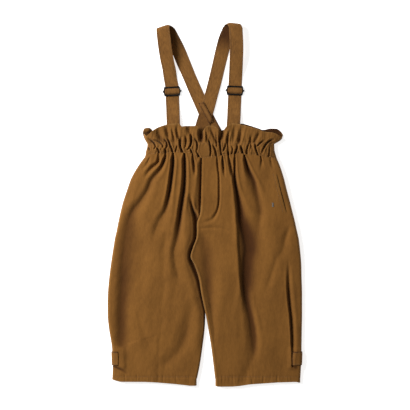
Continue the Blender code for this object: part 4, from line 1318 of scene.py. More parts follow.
    def front_wear(self, y: Points, side: Points, inner: Points) -> Points:
        """How rubbed the front is: at its seams, its hem and the pocket's edge.

        Args:
            y: places along, mm.
            side: distance from the side seam.
            inner: distance from the inner seam.

        Returns:
            The wear at each place, from 0 to 1.
        """
        wear = 0.55 * fade(side, 1.8) + 0.75 * fade(inner, 1.6) * (y < 0.0)
        wear = wear + 0.5 * fade(y - y[-1:], 1.6)
        if self.side is Side.LEFT:
            mouth = ease(y, 58.0, 54.0) * ease(y, -14.0, -10.0)
            wear = wear + 0.5 * fade(np.abs(side - 12.9), 0.9) * mouth
        return np.clip(wear, 0.0, 1.0)

    def front_fold_shade(self, y: Points, z: Points, side: Points, inner: Points) -> Points:
        """Painted shade on the front: darker in low places, in the shadow along the right leg's inner seam,
        on the right leg's outer strip and along the hem's stitch line.

        Args:
            y: places along, mm.
            z: heights, mm.
            side: distance from the side seam.
            inner: distance from the inner seam.

        Returns:
            The painted shade at each place, 0 where the front is open to the light.
        """
        fold = smooth((self.loft(y, "top") - 1.0 - z) / 7.2) * ease(side, 4.0, 12.0)
        if self.side is Side.RIGHT:
            # painted shadow along the right leg's inner edge, which lies under the left leg's
            beneath = ease(y, -22.0, -32.0) * ease(y, -228.0, -198.0)
            fold = np.clip(fold + beneath * fade(inner, 4.6), 0.0, 1.0)
            # painted shade: the right leg's outer strip is darkened where it slopes towards the lamp
            fold = fold + 0.4 * fade(side, 5.0) * ease(y, -20.0, 30.0)
        else:
            fold = fold * ease(inner, 1.0, 3.5)
        # painted shade along the hem's stitch line
        return fold + 0.3 * bell(y, HEM_STITCH_Y, 1.0)

    def open_slit(self, plan: Points) -> Points:
        """Bow two columns of the front into the pocket's narrow mouth.

        Args:
            plan: the front's grid, changed in place.

        Returns:
            Which cells are left open.
        """
        last = plan.shape[1] - 1
        slit = [last - FRONT_NEAR_SIDE.index(inset) for inset in SLIT_COLUMNS][::-1]
        y = plan[:, slit[0], 1]
        share = np.clip((SLIT_TOP - y) / (SLIT_TOP - SLIT_FOOT), 0.0, 1.0)
        half = 0.25 + 0.65 * np.sqrt(np.clip(4.0 * share * (1.0 - share), 0.0, 1.0))
        for column, way in zip(slit, (1.0, -1.0)):
            shift = SLIT_INSET + way * half - plan[:, column, 2]
            plan[:, column, 0] -= self.side.outward * shift
            plan[:, column, 2] += shift
            plan[:, column, 3] -= shift
        hole = np.zeros((plan.shape[0] - 1, last), dtype=bool)
        hole[(y[:-1] < SLIT_TOP) & (y[1:] > SLIT_FOOT), slit[0]] = True
        return hole

    def set_edges(self, normals: Points, seam: Points) -> None:
        """Turn the edge columns' offsets level, or down where the back's seam lies flat.

        Args:
            normals: the panel's normals, changed in place.
            seam: how far the inner edge is turned up on each row, from 0 to 1.
        """
        way = self.side.outward
        outer, inner = (-1, 0) if self.side is Side.LEFT else (0, -1)
        normals[:, outer] = (way, 0.0, 0.0)
        normals[:, inner] = np.stack([-way * seam, 0.0 * seam, seam - 1.0], axis=-1)
        normals[:, inner] /= np.linalg.norm(normals[:, inner], axis=-1, keepdims=True)
        level_rows(normals, (0, -1))

    def back_sheet(self) -> ClothSheet:
        """The back panel, flat on the ground, with its seam edges turned up.

        Returns:
            The panel's sheet.
        """
        plan = self.plan(BACK_NEAR_SIDE, BACK_NEAR_INNER, self.back_rows, self.back_columns)
        x, y, side, inner = (plan[..., k] for k in range(4))
        seam = ease(y, -75.0, -94.5)
        z = SEAM_Z * (1.0 - roll(side, SEAM_Z)) + SEAM_Z * seam * (1.0 - roll(inner, SEAM_Z))
        points = np.stack([x, y, z + self.lift(side, y)], axis=-1)
        normals = -grid_normals(points)
        column = 0 if self.side is Side.LEFT else -1
        self.set_edges(normals, seam[:, column])
        name = f"back_panel_{self.side.value}"
        return ClothSheet(name, points, normals, 0.0, -CLOTH, None, 0.5 * fade(side, 1.8))

    def tab_sheet(self, front: ClothSheet, back: ClothSheet) -> ClothSheet:
        """The hem tab, which follows the leg round its side seam.

        Args:
            front: the front panel.
            back: the back panel.

        Returns:
            The tab's sheet.
        """
        levels = np.linspace(TAB_TOP, TAB_FOOT, TAB_ROWS)
        strips = []
        for sheet, count in ((front, LEG_CUTS[self.side].tab_front), (back, BACK_TAB_COLUMNS)):
            both = np.concatenate([sheet.points, sheet.normals], axis=-1)[::-1]
            both = both[:, -count:] if self.side is Side.LEFT else both[:, :count][:, ::-1]
            order = both[:, -1, 1]
            strip = np.empty((TAB_ROWS, count, 6))
            for column in range(count):
                for k in range(6):
                    strip[:, column, k] = np.interp(levels, order, both[:, column, k])
            strips.append(strip)
        strip = np.concatenate([strips[0][:, :-1], strips[1][:, ::-1]], axis=1)
        points, normals = strip[..., :3], strip[..., 3:]
        normals = normals / np.linalg.norm(normals, axis=-1, keepdims=True)
        row_gap = TAB_WIDTH / TAB_ROWS
        above = np.repeat(np.arange(TAB_ROWS)[:, None] * row_gap, points.shape[1], axis=1)
        edge = np.minimum(above, above[::-1])
        upper = TAB_OFF + TAB_THICK - 0.35 * fade(edge, 0.8) - 0.3 * bell(edge, 2.6, 0.7)
        wear = 0.5 * bell(edge, 2.0, 0.9)
        reach = np.linalg.norm(np.diff(points, axis=1, prepend=points[:, :1]), axis=-1).cumsum(axis=1)
        if self.side is Side.RIGHT:
            reach = reach + 4.0
        # painted shadow along the tab's edges, stronger along its top edge near its end on the front
        fold = 1.2 * fade(np.minimum(edge, reach), 1.0) + 1.2 * fade(above, 1.7) * ease(reach, 13.0, 10.0)
        lower, fold = np.full_like(upper, TAB_OFF), np.clip(fold, 0.0, 1.0)
        return ClothSheet(f"tab_{self.side.value}", points, normals, upper, lower, None, wear, fold)

    def bag_sheet(self, front: ClothSheet) -> ClothSheet:
        """The inside of the pocket, behind its slit.

        Args:
            front: the front panel.

        Returns:
            The pocket bag's sheet.
        """
        rows = np.nonzero((front.points[:, -1, 1] < 67.0) & (front.points[:, -1, 1] > -24.0))[0][::3]
        columns = np.nonzero(front.points[0, -1, 0] - front.points[0, :, 0] < 40.0)[0][3:]
        points, normals = front.points[np.ix_(rows, columns)], front.normals[np.ix_(rows, columns)]
        outer = -(CLOTH + GAP)
        return ClothSheet("pocket_bag", points, normals, outer, outer - BAG_THICK)

    def stitch_runs(self, front: ClothSheet, tab: ClothSheet) -> list[StitchRun]:
        """The leg's rows of stitches: hem, pocket and tab.

        Args:
            front: the front panel.
            tab: the hem tab.

        Returns:
            The rows of stitches.
        """
        surface, ways = front.outside(), front.normals
        y = surface[:, surface.shape[1] // 2, 1]
        runs = []
        row = int(np.argmin(np.abs(y - HEM_STITCH_Y)))
        runs.append(StitchRun(surface[row, 3:-3], ways[row, 3:-3]))
        if self.side is Side.LEFT:
            rows = (surface[:, -1, 1] < 60.0) & (surface[:, -1, 1] > -16.0)
            column = surface.shape[1] - 1 - len(FRONT_NEAR_SIDE)
            runs.append(StitchRun(surface[rows, column], ways[rows, column]))
            seam = (surface[:, 0, 1] < -62.0) & (surface[:, 0, 1] > -130.0)
            runs.append(StitchRun(surface[seam, 6], ways[seam, 6], radius=0.26))
        cover = tab.outside()
        for row in (2, -3):
            runs.append(StitchRun(cover[row], tab.normals[row], radius=0.28))
        runs.append(StitchRun(cover[2:-2, 2], tab.normals[2:-2, 2], radius=0.28))
        return runs

    def build(self) -> None:
        """Make the leg's pieces and hand them over."""
        side = self.side.value
        front, back = self.front_sheet(), self.back_sheet()
        tab = self.tab_sheet(front, back)
        panel = front.build(LEG_TWILL.material())
        hand_over(panel, "leg_cloth", f"front_leg_{side}")
        rear = back.build(LEG_TWILL.material())
        hand_over(rear, "leg_cloth", f"back_leg_{side}")
        cover = tab.build(LEG_TWILL.material())
        hand_over(cover, "tab_cloth", f"hem_tab_{side}")
        if self.side is Side.LEFT:
            bag = self.bag_sheet(front).build(POCKET_TWILL.material())
            hand_over(bag, "pocket_cloth", "pocket_bag_left")
            hand_over(self.tack(front), "strap_cloth")
        stitches = build_stitches(f"stitches_leg_{side}", self.stitch_runs(front, tab), SEWING_THREAD)
        hand_over(stitches, "leg_cloth")

    def tack(self, front: ClothSheet) -> Piece:
        """A plain bar tack on the hip: a few short stitches side by side.

        Args:
            front: the front panel.

        Returns:
            The tack's object.
        """
        surface = front.outside()
        place = np.hypot(surface[..., 0] - TACK_PLACE[0], surface[..., 1] - TACK_PLACE[1])
        row, column = np.unravel_index(np.argmin(place), place.shape)
        at, way = surface[row, column], front.normals[row, column]
        runs = []
        for k in range(TACK_STITCHES):
            up = TACK_PITCH * (k - (TACK_STITCHES - 1) / 2)
            start = at + np.array([-2.8, up, 0.0]) + way * 0.15
            path = np.array([start, start + np.array([4.4, 0.5, 0.0])])
            runs.append(StitchRun(path, np.array([way, way]), length=3.8, radius=0.5))
        return build_stitches("plain_bar_tack", runs, PLAIN_TACK)


# ---- waist


@dataclass
class WaistBand:
    """The elastic casing and the ruffle above it, front and back.

    Attributes:
        top: height of the casing's front.
        columns: columns across the front, apart from those near its ends.
        casing_rows: rows of the front casing.
        ruffle_rows: rows of the front ruffle.
        back_columns: columns across the back, apart from those near its ends.
        back_casing_rows: rows of the back casing.
        back_ruffle_rows: rows of the back ruffle.
    """

    top: float = 15.0
    columns: int = 300
    casing_rows: int = 24
    ruffle_rows: int = 34
    back_columns: int = 120
    back_casing_rows: int = 10
    back_ruffle_rows: int = 16

    def shares(self, ends: Sequence[float], inset: float, columns: int) -> Points:
        """Place the columns of a grid, closer together near both ends.

        Args:
            ends: the columns near one end, which the other end repeats.
            inset: where the even columns start and stop.
            columns: how many even columns there are.

        Returns:
            The columns, from 0 to 1.
        """
        near = np.array(ends)
        return np.concatenate([near, np.linspace(inset, 1.0 - inset, columns), 1.0 - near[::-1]])

    def plan(self, edge: Sequence[EdgePoint], shares: Points, casing_rows: int, ruffle_rows: int) -> Points:
        """Lay out the grid of a casing with its ruffle, from the ruffle's edge down.

        Args:
            edge: the ruffle's free edge.
            shares: the columns, from 0 at the wearer's right to 1 at the left.
            casing_rows: rows of the casing.
            ruffle_rows: rows of the ruffle.

        Returns:
            Rows x columns x 4: x, y, distance from the nearer end, share of the ruffle.
        """
        ys = [level.y for level in BAND_LEVELS]
        grid = []
        for y in np.linspace(ys[0], ys[-1], casing_rows):
            right = curve_through(y, ys, [level.right for level in BAND_LEVELS])
            left = curve_through(y, ys, [level.left for level in BAND_LEVELS])
            x = right + shares * (left - right)
            end = np.minimum(shares, 1.0 - shares) * (left - right)
            grid.append(np.stack([x, 0 * x + y, end, 0 * x], axis=-1))
        foot = grid[-1][:, 0]
        tip = edge[0].x + shares * (edge[-1].x - edge[0].x)
        edge_y = curve_through(tip, [p.x for p in edge], [p.y for p in edge])
        for step in np.linspace(0.0, 1.0, ruffle_rows + 1)[1:]:
            x = foot + (tip - foot) * math.sin(step * math.pi / 2)
            y = STITCH_Y + (edge_y - STITCH_Y) * step
            end = np.minimum(shares, 1.0 - shares) * (x[-1] - x[0])
            grid.append(np.stack([x, y, end, 0 * x + step], axis=-1))
        return np.array(grid)[::-1]

    def front_sheet(self) -> ClothSheet:
        """The front casing and ruffle, drawn into puckers.

        Returns:
            The front's sheet.
        """
        shares = self.shares(FRONT_ENDS, 0.014, self.columns)
        plan = self.plan(FRONT_RUFFLE_EDGE, shares, self.casing_rows, self.ruffle_rows)
        x, y, end, flute = (plan[..., k] for k in range(4))
        window = roll(end, 9.0)
        gather = crease_depth([pucker.knots() for pucker in PUCKERS], x, y, 0.7 + 0.3 * flute)
        ripple = 0.55 * waves(x, y * 0.12, 9.0, 21) + 0.35 * waves(x, y * 0.25, 5.0, 22)
        patch = ease(x, PATCH_LEFT, PATCH_LEFT + 2.0) * ease(x, PATCH_RIGHT, PATCH_RIGHT - 2.0)
        patch = patch * ease(y, STITCH_Y - 1.5, STITCH_Y - 4.5)
        stitch = bell(y, STITCH_Y, 1.0) + 0.9 * bell(y, CASING_STITCH_Y, 1.2)
        relief = 2.2 * flute - 2.2 * smooth(flute / 0.12) * (1.0 - flute) ** 2 - 1.4 * gather
        relief = relief + ripple * (1.0 - 0.9 * patch) * (1.0 - 0.5 * flute)
        relief = relief + 0.9 * waves(x, y * 0.3, 24.0, 23) * flute - 0.9 * stitch
        relief = relief + 1.1 * bell(y, 101.0, 8.0) + 0.3 * ease(flute, 0.86, 0.91)
        z = soft_floor(self.top + relief * window, CASING_FLOOR)
        rise = 0.68 * roll(end, 4.0) + 0.32 * smooth(end / 20.0)
        z = SEAM_Z + GAP + (z - SEAM_Z - GAP) * rise
        held = smooth(np.abs(x - MIDDLE_SEAM_X) / 5.0)
        sway = seam_sway(x) * ease(y, STITCH_Y + 2.0, WAIST_Y) * smooth(end / 8.0) * held
        points = np.stack([x, y + sway, z], axis=-1)
        normals = grid_normals(points)
        self.set_ends(normals)
        # drawn lighter towards the ruffle's free edge and at the casing's ends
        wear = 0.8 * np.exp(-24.0 * (1.0 - flute)) + 0.3 * fade(end, 2.0)
        # painted shade: darker where the puckers take the cloth low, and inside each pucker's valley away
        # from the ends
        fold = smooth((self.top - 0.5 - z) / 6.5) * ease(end, 3.0, 11.0)
        fold = fold + 0.75 * smooth(gather / 3.0) * ease(end, 11.0, 5.0) * smooth(end / 1.5)
        wear, fold = np.clip(wear, 0.0, 1.0), np.clip(fold, 0.0, 1.0)
        return ClothSheet("waist_front_cloth", points, normals, 0.0, -CLOTH, None, wear, fold)

    def back_sheet(self) -> ClothSheet:
        """The back casing and ruffle, flat below, with a curled end and a lobe that stands up.

        Returns:
            The back's sheet.
        """
        shares = self.shares(BACK_ENDS, 0.03, self.back_columns)
        plan = self.plan(BACK_RUFFLE_EDGE, shares, self.back_casing_rows, self.back_ruffle_rows)
        x, y, end, flute = (plan[..., k] for k in range(4))
        curl = ease(x, -96.0, -105.0) * ease(y, 131.0, 140.0)
        swell = ease(x, 88.0, 102.0) * ease(x, 140.0, 122.0) * ease(flute, 0.45, 1.0)
        z = SEAM_Z * (1.0 - roll(end, SEAM_Z)) + 7.0 * curl + 4.0 * swell
        points = np.stack([x, y, z], axis=-1)
        normals = -grid_normals(points)
        self.set_ends(normals)
        lobe = ease(x, 62.0, 70.0) * ease(x, 142.0, 138.0)
        # drawn lighter towards the ruffle's free edge, except on the lobe
        wear = 0.8 * np.exp(-20.0 * (1.0 - flute)) * (1.0 - lobe)
        # painted shade on the ruffle's inside, kept off its rim and darkest in the hollow of the curled end
        rim = (1.0 - lobe) * ease(flute, 0.94, 0.99)
        inside = (0.7 + 0.3 * lobe) * smooth(flute / 0.3) * (1.0 - rim)
        from_x, from_y = x - CURL_MIDDLE.x, y - CURL_MIDDLE.y
        along, beside = from_x + CURL_LEAN * from_y, from_y - CURL_LEAN * from_x
        hollow = smooth(1.9 - np.hypot(along / 4.6, beside / 1.7))
        inside = inside + (hollow - inside) * ease(x, -95.0, -98.0)
        return ClothSheet("waist_back_cloth", points, normals, 0.0, -CLOTH, None, wear, inside)

    def set_ends(self, normals: Points) -> None:
        """Turn the offsets level at both ends, and square to the seam along top and bottom.

        Args:
            normals: a grid's normals, changed in place.
        """
        normals[:, 0] = (-1.0, 0.0, 0.0)
        normals[:, -1] = (1.0, 0.0, 0.0)
        level_rows(normals, (0, -1))

    def stitch_runs(self, front: ClothSheet) -> list[StitchRun]:
        """Stitch lines above and below the elastic, and beside the flat patch.

        Args:
            front: the front's sheet.

        Returns:
            The rows of stitches.
        """
        surface, ways = front.outside(), front.normals
        y = surface[:, self.columns // 2, 1]
        lines = []
        for level in (STITCH_Y, CASING_STITCH_Y):
            row = int(np.argmin(np.abs(y - level)))
            lines.append((surface[row, 5:-5], ways[row, 5:-5]))
        rows = (y < STITCH_Y) & (y > WAIST_Y + 1.0)
        for place in (PATCH_LEFT + 1.5, PATCH_RIGHT - 1.5):
            column = int(np.argmin(np.abs(surface[-8, :, 0] - place)))
            lines.append((surface[rows, column], ways[rows, column]))
        return [StitchRun(path, out, length=1.9, pitch=2.6, radius=0.26) for path, out in lines]

    def build(self) -> None:
        """Make the waist's pieces and hand them over."""
        front = self.front_sheet()
        cover = front.build(SHADED_WAIST_TWILL.material())
        hand_over(cover, "waist_cloth", "waist_front")
        rear = self.back_sheet().build(SHADED_WAIST_TWILL.material())
        hand_over(rear, "waist_cloth", "waist_back")
        hand_over(build_stitches("stitches_waist", self.stitch_runs(front), SEWING_THREAD), "waist_cloth")


# ---- straps


@dataclass(frozen=True)
class SliderPlace:
    """A slider's middle, and how far the strap under it leans from straight up."""

    x: float
    y: float
    lean: float


RIGHT_SLIDER = SliderPlace(-61.0, 211.0, math.radians(3.0))
LEFT_SLIDER = SliderPlace(55.2, 212.5, math.radians(-2.3))
HUMP_HEIGHT = 4.2  # how far a strap rises over its slider's middle bar
HUMP_HALF = 5.0
STRAP_STEP = 3.0  # about how far apart a strap's rows are
SHOULDER_ROWS = 20


@dataclass
class Strap:
    """One strap: inside the front waist, through its slider, over the shoulder, into the back.

    Attributes:
        side: the wearer's side that its front part is on.
        front: rows up the front part.
        back: rows down the back part.
        slider: where its slider is.
        thick: the strap's thickness, mm.
        columns: points across it.
    """

    side: Side
    front: Sequence[StrapRow]
    back: Sequence[StrapRow]
    slider: SliderPlace
    thick: float = 1.6
    columns: int = 19

    def edge_rows(self) -> tuple[Points, int]:
        """Edge points of every row, from the front waist over the shoulder to the back.

        Returns:
            Rows x 2 x 3, and the row at the top of the shoulder.
        """
        front = self.spaced(self.front, self.slider)
        back = self.spaced(self.back, None)
        over = self.over_shoulder(front[-1], back[0])
        return np.concatenate([front, over, back]), len(front) + SHOULDER_ROWS // 2

    def spaced(self, rows: Sequence[StrapRow], slider: Optional[SliderPlace]) -> Points:
        """Set rows closer together, on smooth curves through a table's rows.

        Args:
            rows: the table.
            slider: the slider whose bar the strap rises over, or None.

        Returns:
            Rows x 2 x 3: the left and right edge points.
        """
        table = np.array(rows)
        middle = (table[:, 0:2] + table[:, 2:4]) / 2
        along = steps_along(middle)
        marks = np.linspace(0.0, along[-1], int(along[-1] / STRAP_STEP) + 1)
        if slider is not None:
            bar = float(np.interp(slider.y, middle[:, 1], along))
            apart = marks[np.abs(marks - bar) > 10.5]
            marks = np.unique(np.concatenate([apart, np.linspace(bar - 10.0, bar + 10.0, 33)]))
        values = [curve_through(marks, along, table[:, k]) for k in range(5)]
        z = values[4]
        if slider is not None:
            z = z + HUMP_HEIGHT * plateau(marks, bar, HUMP_HALF)
        left = np.stack([values[0], values[1], z], axis=-1)
        right = np.stack([values[2], values[3], z], axis=-1)
        if slider is not None:
            tilt = plateau(marks, bar, 14.0) * STRAP_WIDTH / 2 * math.sin(slider.lean)
            spread = plateau(marks, bar, 5.5)
            for edge, way in ((left, -1.0), (right, 1.0)):
                edge[:, 0] += way * spread
                edge[:, 1] += way * tilt
        return np.stack([left, right], axis=1)

    def over_shoulder(self, start: Points, end: Points) -> Points:
        """Rows that carry the strap over the shoulder, from its front part to its back part.

        Args:
            start: the front part's last row.
            end: the back part's first row.

        Returns:
            Rows x 2 x 3: the left and right edge points.
        """
        radius = (start[0, 2] - end[0, 2]) / 2
        across = start[1] - start[0]
        ahead = np.array([-across[1], across[0]]) / math.hypot(across[0], across[1])
        rows = []
        for angle in np.linspace(0.0, math.pi, SHOULDER_ROWS + 2)[1:-1]:
            share = angle / math.pi
            pair = start * (1 - share) + end * share
            pair[:, :2] += ahead * (radius + 2.2) * math.sin(angle)
            pair[:, 2] = start[0, 2] - radius * (1 - math.cos(angle))
            rows.append(pair)
        return np.array(rows)

    def sheet(self) -> ClothSheet:
        """The strap's cloth: flat, with soft edges and a groove along each row of stitches.

        Returns:
            The strap's sheet.
        """
        edges, turn = self.edge_rows()
        edges = edges[:, ::-1]
        shares = (1 - np.cos(np.linspace(0, math.pi, self.columns))) / 2
        points = edges[:, :1] + (edges[:, 1:] - edges[:, :1]) * shares[None, :, None]
        along = np.gradient(edges.mean(axis=1), axis=0)
        normal = np.cross(edges[:, 0] - edges[:, 1], along)
        normal /= np.linalg.norm(normal, axis=-1, keepdims=True)
        normals = np.repeat(normal[:, None], self.columns, axis=1)
        inset = np.repeat(np.minimum(shares, 1.0 - shares)[None, :] * STRAP_WIDTH, len(points), axis=0)
        groove = bell(inset, 2.5, 0.8)
        half = self.thick / 2 * (0.55 + 0.45 * roll(inset, 1.6)) - 0.3 * groove
        points[..., 2] += 0.22 * (1.0 - smooth((points[..., 2] - FLAT_Z) / 1.5))
        flutter = np.maximum(0.12 * waves(points[..., 0], points[..., 1], 16.0, 31), 0.0)
        points = points + normals * (flutter * smooth(points[..., 2] / 40.0 + 0.6))[..., None]
        past = np.arange(len(points)) - turn
        outer = (1.0 - shares if self.side is Side.LEFT else shares)[None, :] * STRAP_WIDTH
        near = 1.0 - smooth(np.abs(past) / 13.0)[:, None]
        points[..., 1] -= 3.0 * near * np.exp(-((outer / 3.4) ** 1.6))
        # painted shade inside the shoulder's turn and near the crossing, in each stitch groove and along both
        # edges
        fold = np.clip(self.shade(points, past, shares) + 0.3 * groove + 0.42 * fade(inset, 0.8), 0.0, 1.0)
        name = f"strap_{self.side.value}_cloth"
        return ClothSheet(name, points, normals, half, -half, None, 0.35 * fade(inset, 0.9), fold)

    def shade(self, points: Points, past: Points, shares: Points) -> Points:
        """Painted shade: how dark the strap is made inside the turn of the shoulder and near the crossing.

        Args:
            points: the strap's grid.
            past: how many rows each row is past the shoulder.
            shares: the columns, from 0 to 1.

        Returns:
            The shade at each point, 0 where the strap is open to the light.
        """
        left = self.side is Side.LEFT
        y = points[:, self.columns // 2, 1]
        shade = (1.0 if left else 0.5) * smooth(past / 6.0 + 0.5) * (1.0 - ease(y.max() - y, 18.0, 62.0))
        back = ease(past, 20.0, 25.0)
        # painted shade on the left strap's back part below the crossing
        if left:
            return (shade + 0.42 * back * ease(y, 174.0, 169.0))[:, None]
        # painted shadow just inside the right strap's edge below the crossing
        under = back[:, None] * ease(points[..., 1], 180.0, 172.0)
        return shade[:, None] + 1.3 * under * fade(shares[None, :] * STRAP_WIDTH, 2.6)

    def stitch_runs(self, sheet: ClothSheet) -> list[StitchRun]:
        """A row of stitches along each edge, seen on both faces.

        Args:
            sheet: the strap's sheet.

        Returns:
            The rows of stitches.
        """
        runs = []
        inside = sheet.points + sheet.normals * np.asarray(sheet.lower)[..., None]
        for surface, way in ((sheet.outside(), 1.0), (inside, -1.0)):
            left, right = surface[:, 0], surface[:, -1]
            for share in (STRAP_STITCH_INSET / STRAP_WIDTH, 1.0 - STRAP_STITCH_INSET / STRAP_WIDTH):
                column = left + (right - left) * share
                column = column + sheet.normals[:, 0] * way * 0.16
                runs.append(StitchRun(column, sheet.normals[:, 0] * way, radius=0.22))
        return runs

    def build(self) -> None:
        """Make the strap and its stitches and hand them over."""
        sheet = self.sheet()
        piece = sheet.build(STRAP_TWILL.material())
        hand_over(piece, "strap_cloth", f"strap_{self.side.value}")
        name = f"stitches_strap_{self.side.value}"
        hand_over(build_stitches(name, self.stitch_runs(sheet), SEWING_THREAD), "strap_cloth")


@dataclass
class Keeper:
    """The short strip sewn over the place where the straps cross.

    Attributes:
        head: its upper end's middle.
        foot: its lower end's middle.
        half: half its width.
        thick: its thickness.
        head_slope: how its upper end rises along X.
        foot_slope: how its lower end rises along X.
        rows: points along it.
        columns: points across it.
    """

    head: EdgePoint = EdgePoint(-7.1, 189.8)
    foot: EdgePoint = EdgePoint(11.6, 153.4)
    half: float = 4.8
    thick: float = 1.1
    head_slope: float = 0.14
    foot_slope: float = 0.25
    rows: int = 56
    columns: int = 17

    def sheet(self) -> ClothSheet:
        """The strip's cloth, which steps down off the upper strap at both ends.

        Returns:
            The strip's sheet.
        """
        upper, lower = LEFT_STRAP_BACK[6], LEFT_STRAP_BACK[8]
        strap = np.array([upper.left_x - lower.left_x, upper.left_y - lower.left_y])
        strap /= np.hypot(*strap)
        across = np.array([strap[1], -strap[0]])
        width = float(np.dot(across, (upper.right_x - upper.left_x, 0.0)))
        head, foot = np.array(self.head), np.array(self.foot)
        along = (foot - head) / np.hypot(*(foot - head))
        beside = np.array([-along[1], along[0]]) * self.half
        shares = (1.0 - np.cos(np.linspace(0.0, math.pi, self.columns))) / 2
        steps = np.linspace(0.0, 1.0, self.rows)[:, None]
        side_points = head + beside * (2.0 * shares[:, None] - 1.0)
        cuts = []
        for end, slope in ((head, self.head_slope), (foot, self.foot_slope)):
            past = side_points[:, 1] - end[1] - slope * (side_points[:, 0] - end[0])
            cuts.append(-past / (along[1] - slope * along[0]))
        reach = cuts[0] + (cuts[1] - cuts[0]) * steps
        flat = side_points + along * reach[..., None]
        mark = (flat - (lower.left_x, lower.left_y)) @ across
        knots = (-4.2, -2.8, -0.7, 1.0, width - 1.0, width + 0.7, width + 2.6, width + 5.0)
        z = curve_through(mark, knots, (2.55, 2.6, 4.55, 4.65, 4.65, 4.55, 3.4, 2.8))
        points = np.concatenate([flat, z[..., None]], axis=-1)
        normals = grid_normals(points)
        in_left = np.repeat(shares[None, :] * 2 * self.half, self.rows, axis=0)
        in_right = 2 * self.half - in_left
        half = self.thick / 2 * (0.6 + 0.4 * roll(np.minimum(in_left, in_right), 0.9))
        # painted shadow along the strip's two edges and at its upper and lower ends
        fold = 1.6 * fade(in_left, 1.8) + 1.3 * fade(in_right, 1.7)
        fold = fold + 1.1 * fade(reach - cuts[0], 1.5) + 0.9 * fade(cuts[1] - reach, 2.4)
        fold, wear = np.clip(fold, 0.0, 1.0), np.full_like(fold, 0.15)
        return ClothSheet("strap_keeper_cloth", points, normals, half, -half, None, wear, fold)

    def build(self) -> None:
        """Make the strip and its stitches and hand them over."""
        sheet = self.sheet()
        piece = sheet.build(STRAP_TWILL.material())
        hand_over(piece, "strap_cloth", "strap_keeper")
        surface = sheet.outside()
        runs = []
        for column in (1, -2):
            runs.append(StitchRun(surface[1:-1, column], sheet.normals[1:-1, column], radius=0.2))
        for row in (1, -2):
            runs.append(StitchRun(surface[row], sheet.normals[row], length=1.6, pitch=2.1, radius=0.22))
        hand_over(build_stitches("stitches_keeper", runs, SEWING_THREAD), "strap_cloth")


# ---- sliders


@dataclass
class WireSlider:
    """A six-sided slider of bent wire, with a middle bar and a knob at each side.

    Attributes:
        side: the wearer's side.
        place: where it sits.
        z: height of its wires' middles, mm.
        wire: half the wire's width.
        bar: half the middle bar's width.
        half_width: from the middle to a side point.
        half_bar: from the middle to a corner, across.
        half_height: from the middle to a long bar.
        knob: half a knob's width.
    """

    side: Side
    place: SliderPlace
    z: float = 3.4
    wire: float = 1.4
    bar: float = 0.8
    half_width: float = 14.8
    half_bar: float = 13.3
    half_height: float = 7.4
    knob: float = 1.9

    def ring(self) -> Piece:
        """The outer wire: a six-sided plate with its middle taken out and its edges rounded.

        Returns:
            The wire's object.
        """
        bpy.ops.mesh.primitive_cylinder_add(vertices=6, radius=1.0, depth=2 * self.wire * MM)
        piece = bpy.context.object
        outer = (self.half_width + self.wire) * MM
        tall = (self.half_height + self.wire) * MM
        bpy.ops.object.mode_set(mode="EDIT")
        bpy.ops.mesh.select_all(action="SELECT")
        bpy.ops.transform.rotate(value=math.pi / 6, orient_axis="Z", center_override=(0, 0, 0))
        bpy.ops.transform.resize(value=(outer, tall / (math.sqrt(3) / 2), 1.0), center_override=(0, 0, 0))
        bpy.ops.object.mode_set(mode="OBJECT")
        corner = (self.half_bar + self.wire * 0.7) * MM
        for vertex in piece.data.vertices:
            if abs(vertex.co.x) < outer * 0.8:
                vertex.co.x = math.copysign(corner, vertex.co.x)
        bpy.ops.object.mode_set(mode="EDIT")
        bpy.ops.mesh.select_all(action="DESELECT")
        bm = bmesh.from_edit_mesh(piece.data)
        for face in bm.faces:
            face.select = abs(face.normal.z) > 0.9
        bmesh.update_edit_mesh(piece.data)
        bpy.ops.mesh.inset(thickness=2 * self.wire * MM)
        bpy.ops.mesh.bridge_edge_loops()
        bpy.ops.object.mode_set(mode="OBJECT")
        rounding = piece.modifiers.new("round", "BEVEL")
        rounding.width = self.wire * 0.62 * MM
        rounding.segments = 3
        rounding.limit_method = "ANGLE"
        rounding.angle_limit = math.radians(25.0)
        bpy.ops.object.modifier_apply(modifier=rounding.name)
        return piece

    def extras(self) -> list[Piece]:
        """The middle bar and the two knobs.

        Returns:
            Their objects.
        """
        length = 2 * self.half_width * MM
        turned = (0.0, math.pi / 2, 0.0)
        bpy.ops.mesh.primitive_cylinder_add(vertices=14, radius=self.bar * MM, depth=length, rotation=turned)
        pieces = [bpy.context.object]
        for way in (-1.0, 1.0):
            at = (way * (self.half_width + 1.1) * MM, 0.0, 0.0)
            size = self.knob * MM
            bpy.ops.mesh.primitive_uv_sphere_add(segments=18, ring_count=10, radius=size, location=at)
            pieces.append(bpy.context.object)
        return pieces

    def build(self) -> None:
        """Make the slider in one piece, set it on its strap and hand it over."""
        bpy.ops.object.select_all(action="DESELECT")
        ring = self.ring()
        for piece in self.extras():
            piece.select_set(True)
        ring.select_set(True)
        bpy.context.view_layer.objects.active = ring
        bpy.ops.object.join()
        ring.name = f"wire_slider_{self.side.value}"
        ring.rotation_euler = (0.0, 0.0, self.place.lean)
        ring.location = (np.array([self.place.x, self.place.y, self.z]) - MIDDLE) * MM
        bpy.ops.object.transform_apply(location=True, rotation=True, scale=True)
        bpy.ops.object.mode_set(mode="EDIT")
        bpy.ops.mesh.select_all(action="SELECT")
        bpy.ops.mesh.normals_make_consistent(inside=False)
        bpy.ops.object.mode_set(mode="OBJECT")
        bpy.ops.object.shade_smooth_by_angle(angle=math.radians(40.0))
        ring.data.materials.clear()
        ring.data.materials.append(SLIDER_COAT.material())
        hand_over(ring, "slider_metal", f"slider_{self.side.value}")


# ---- studio


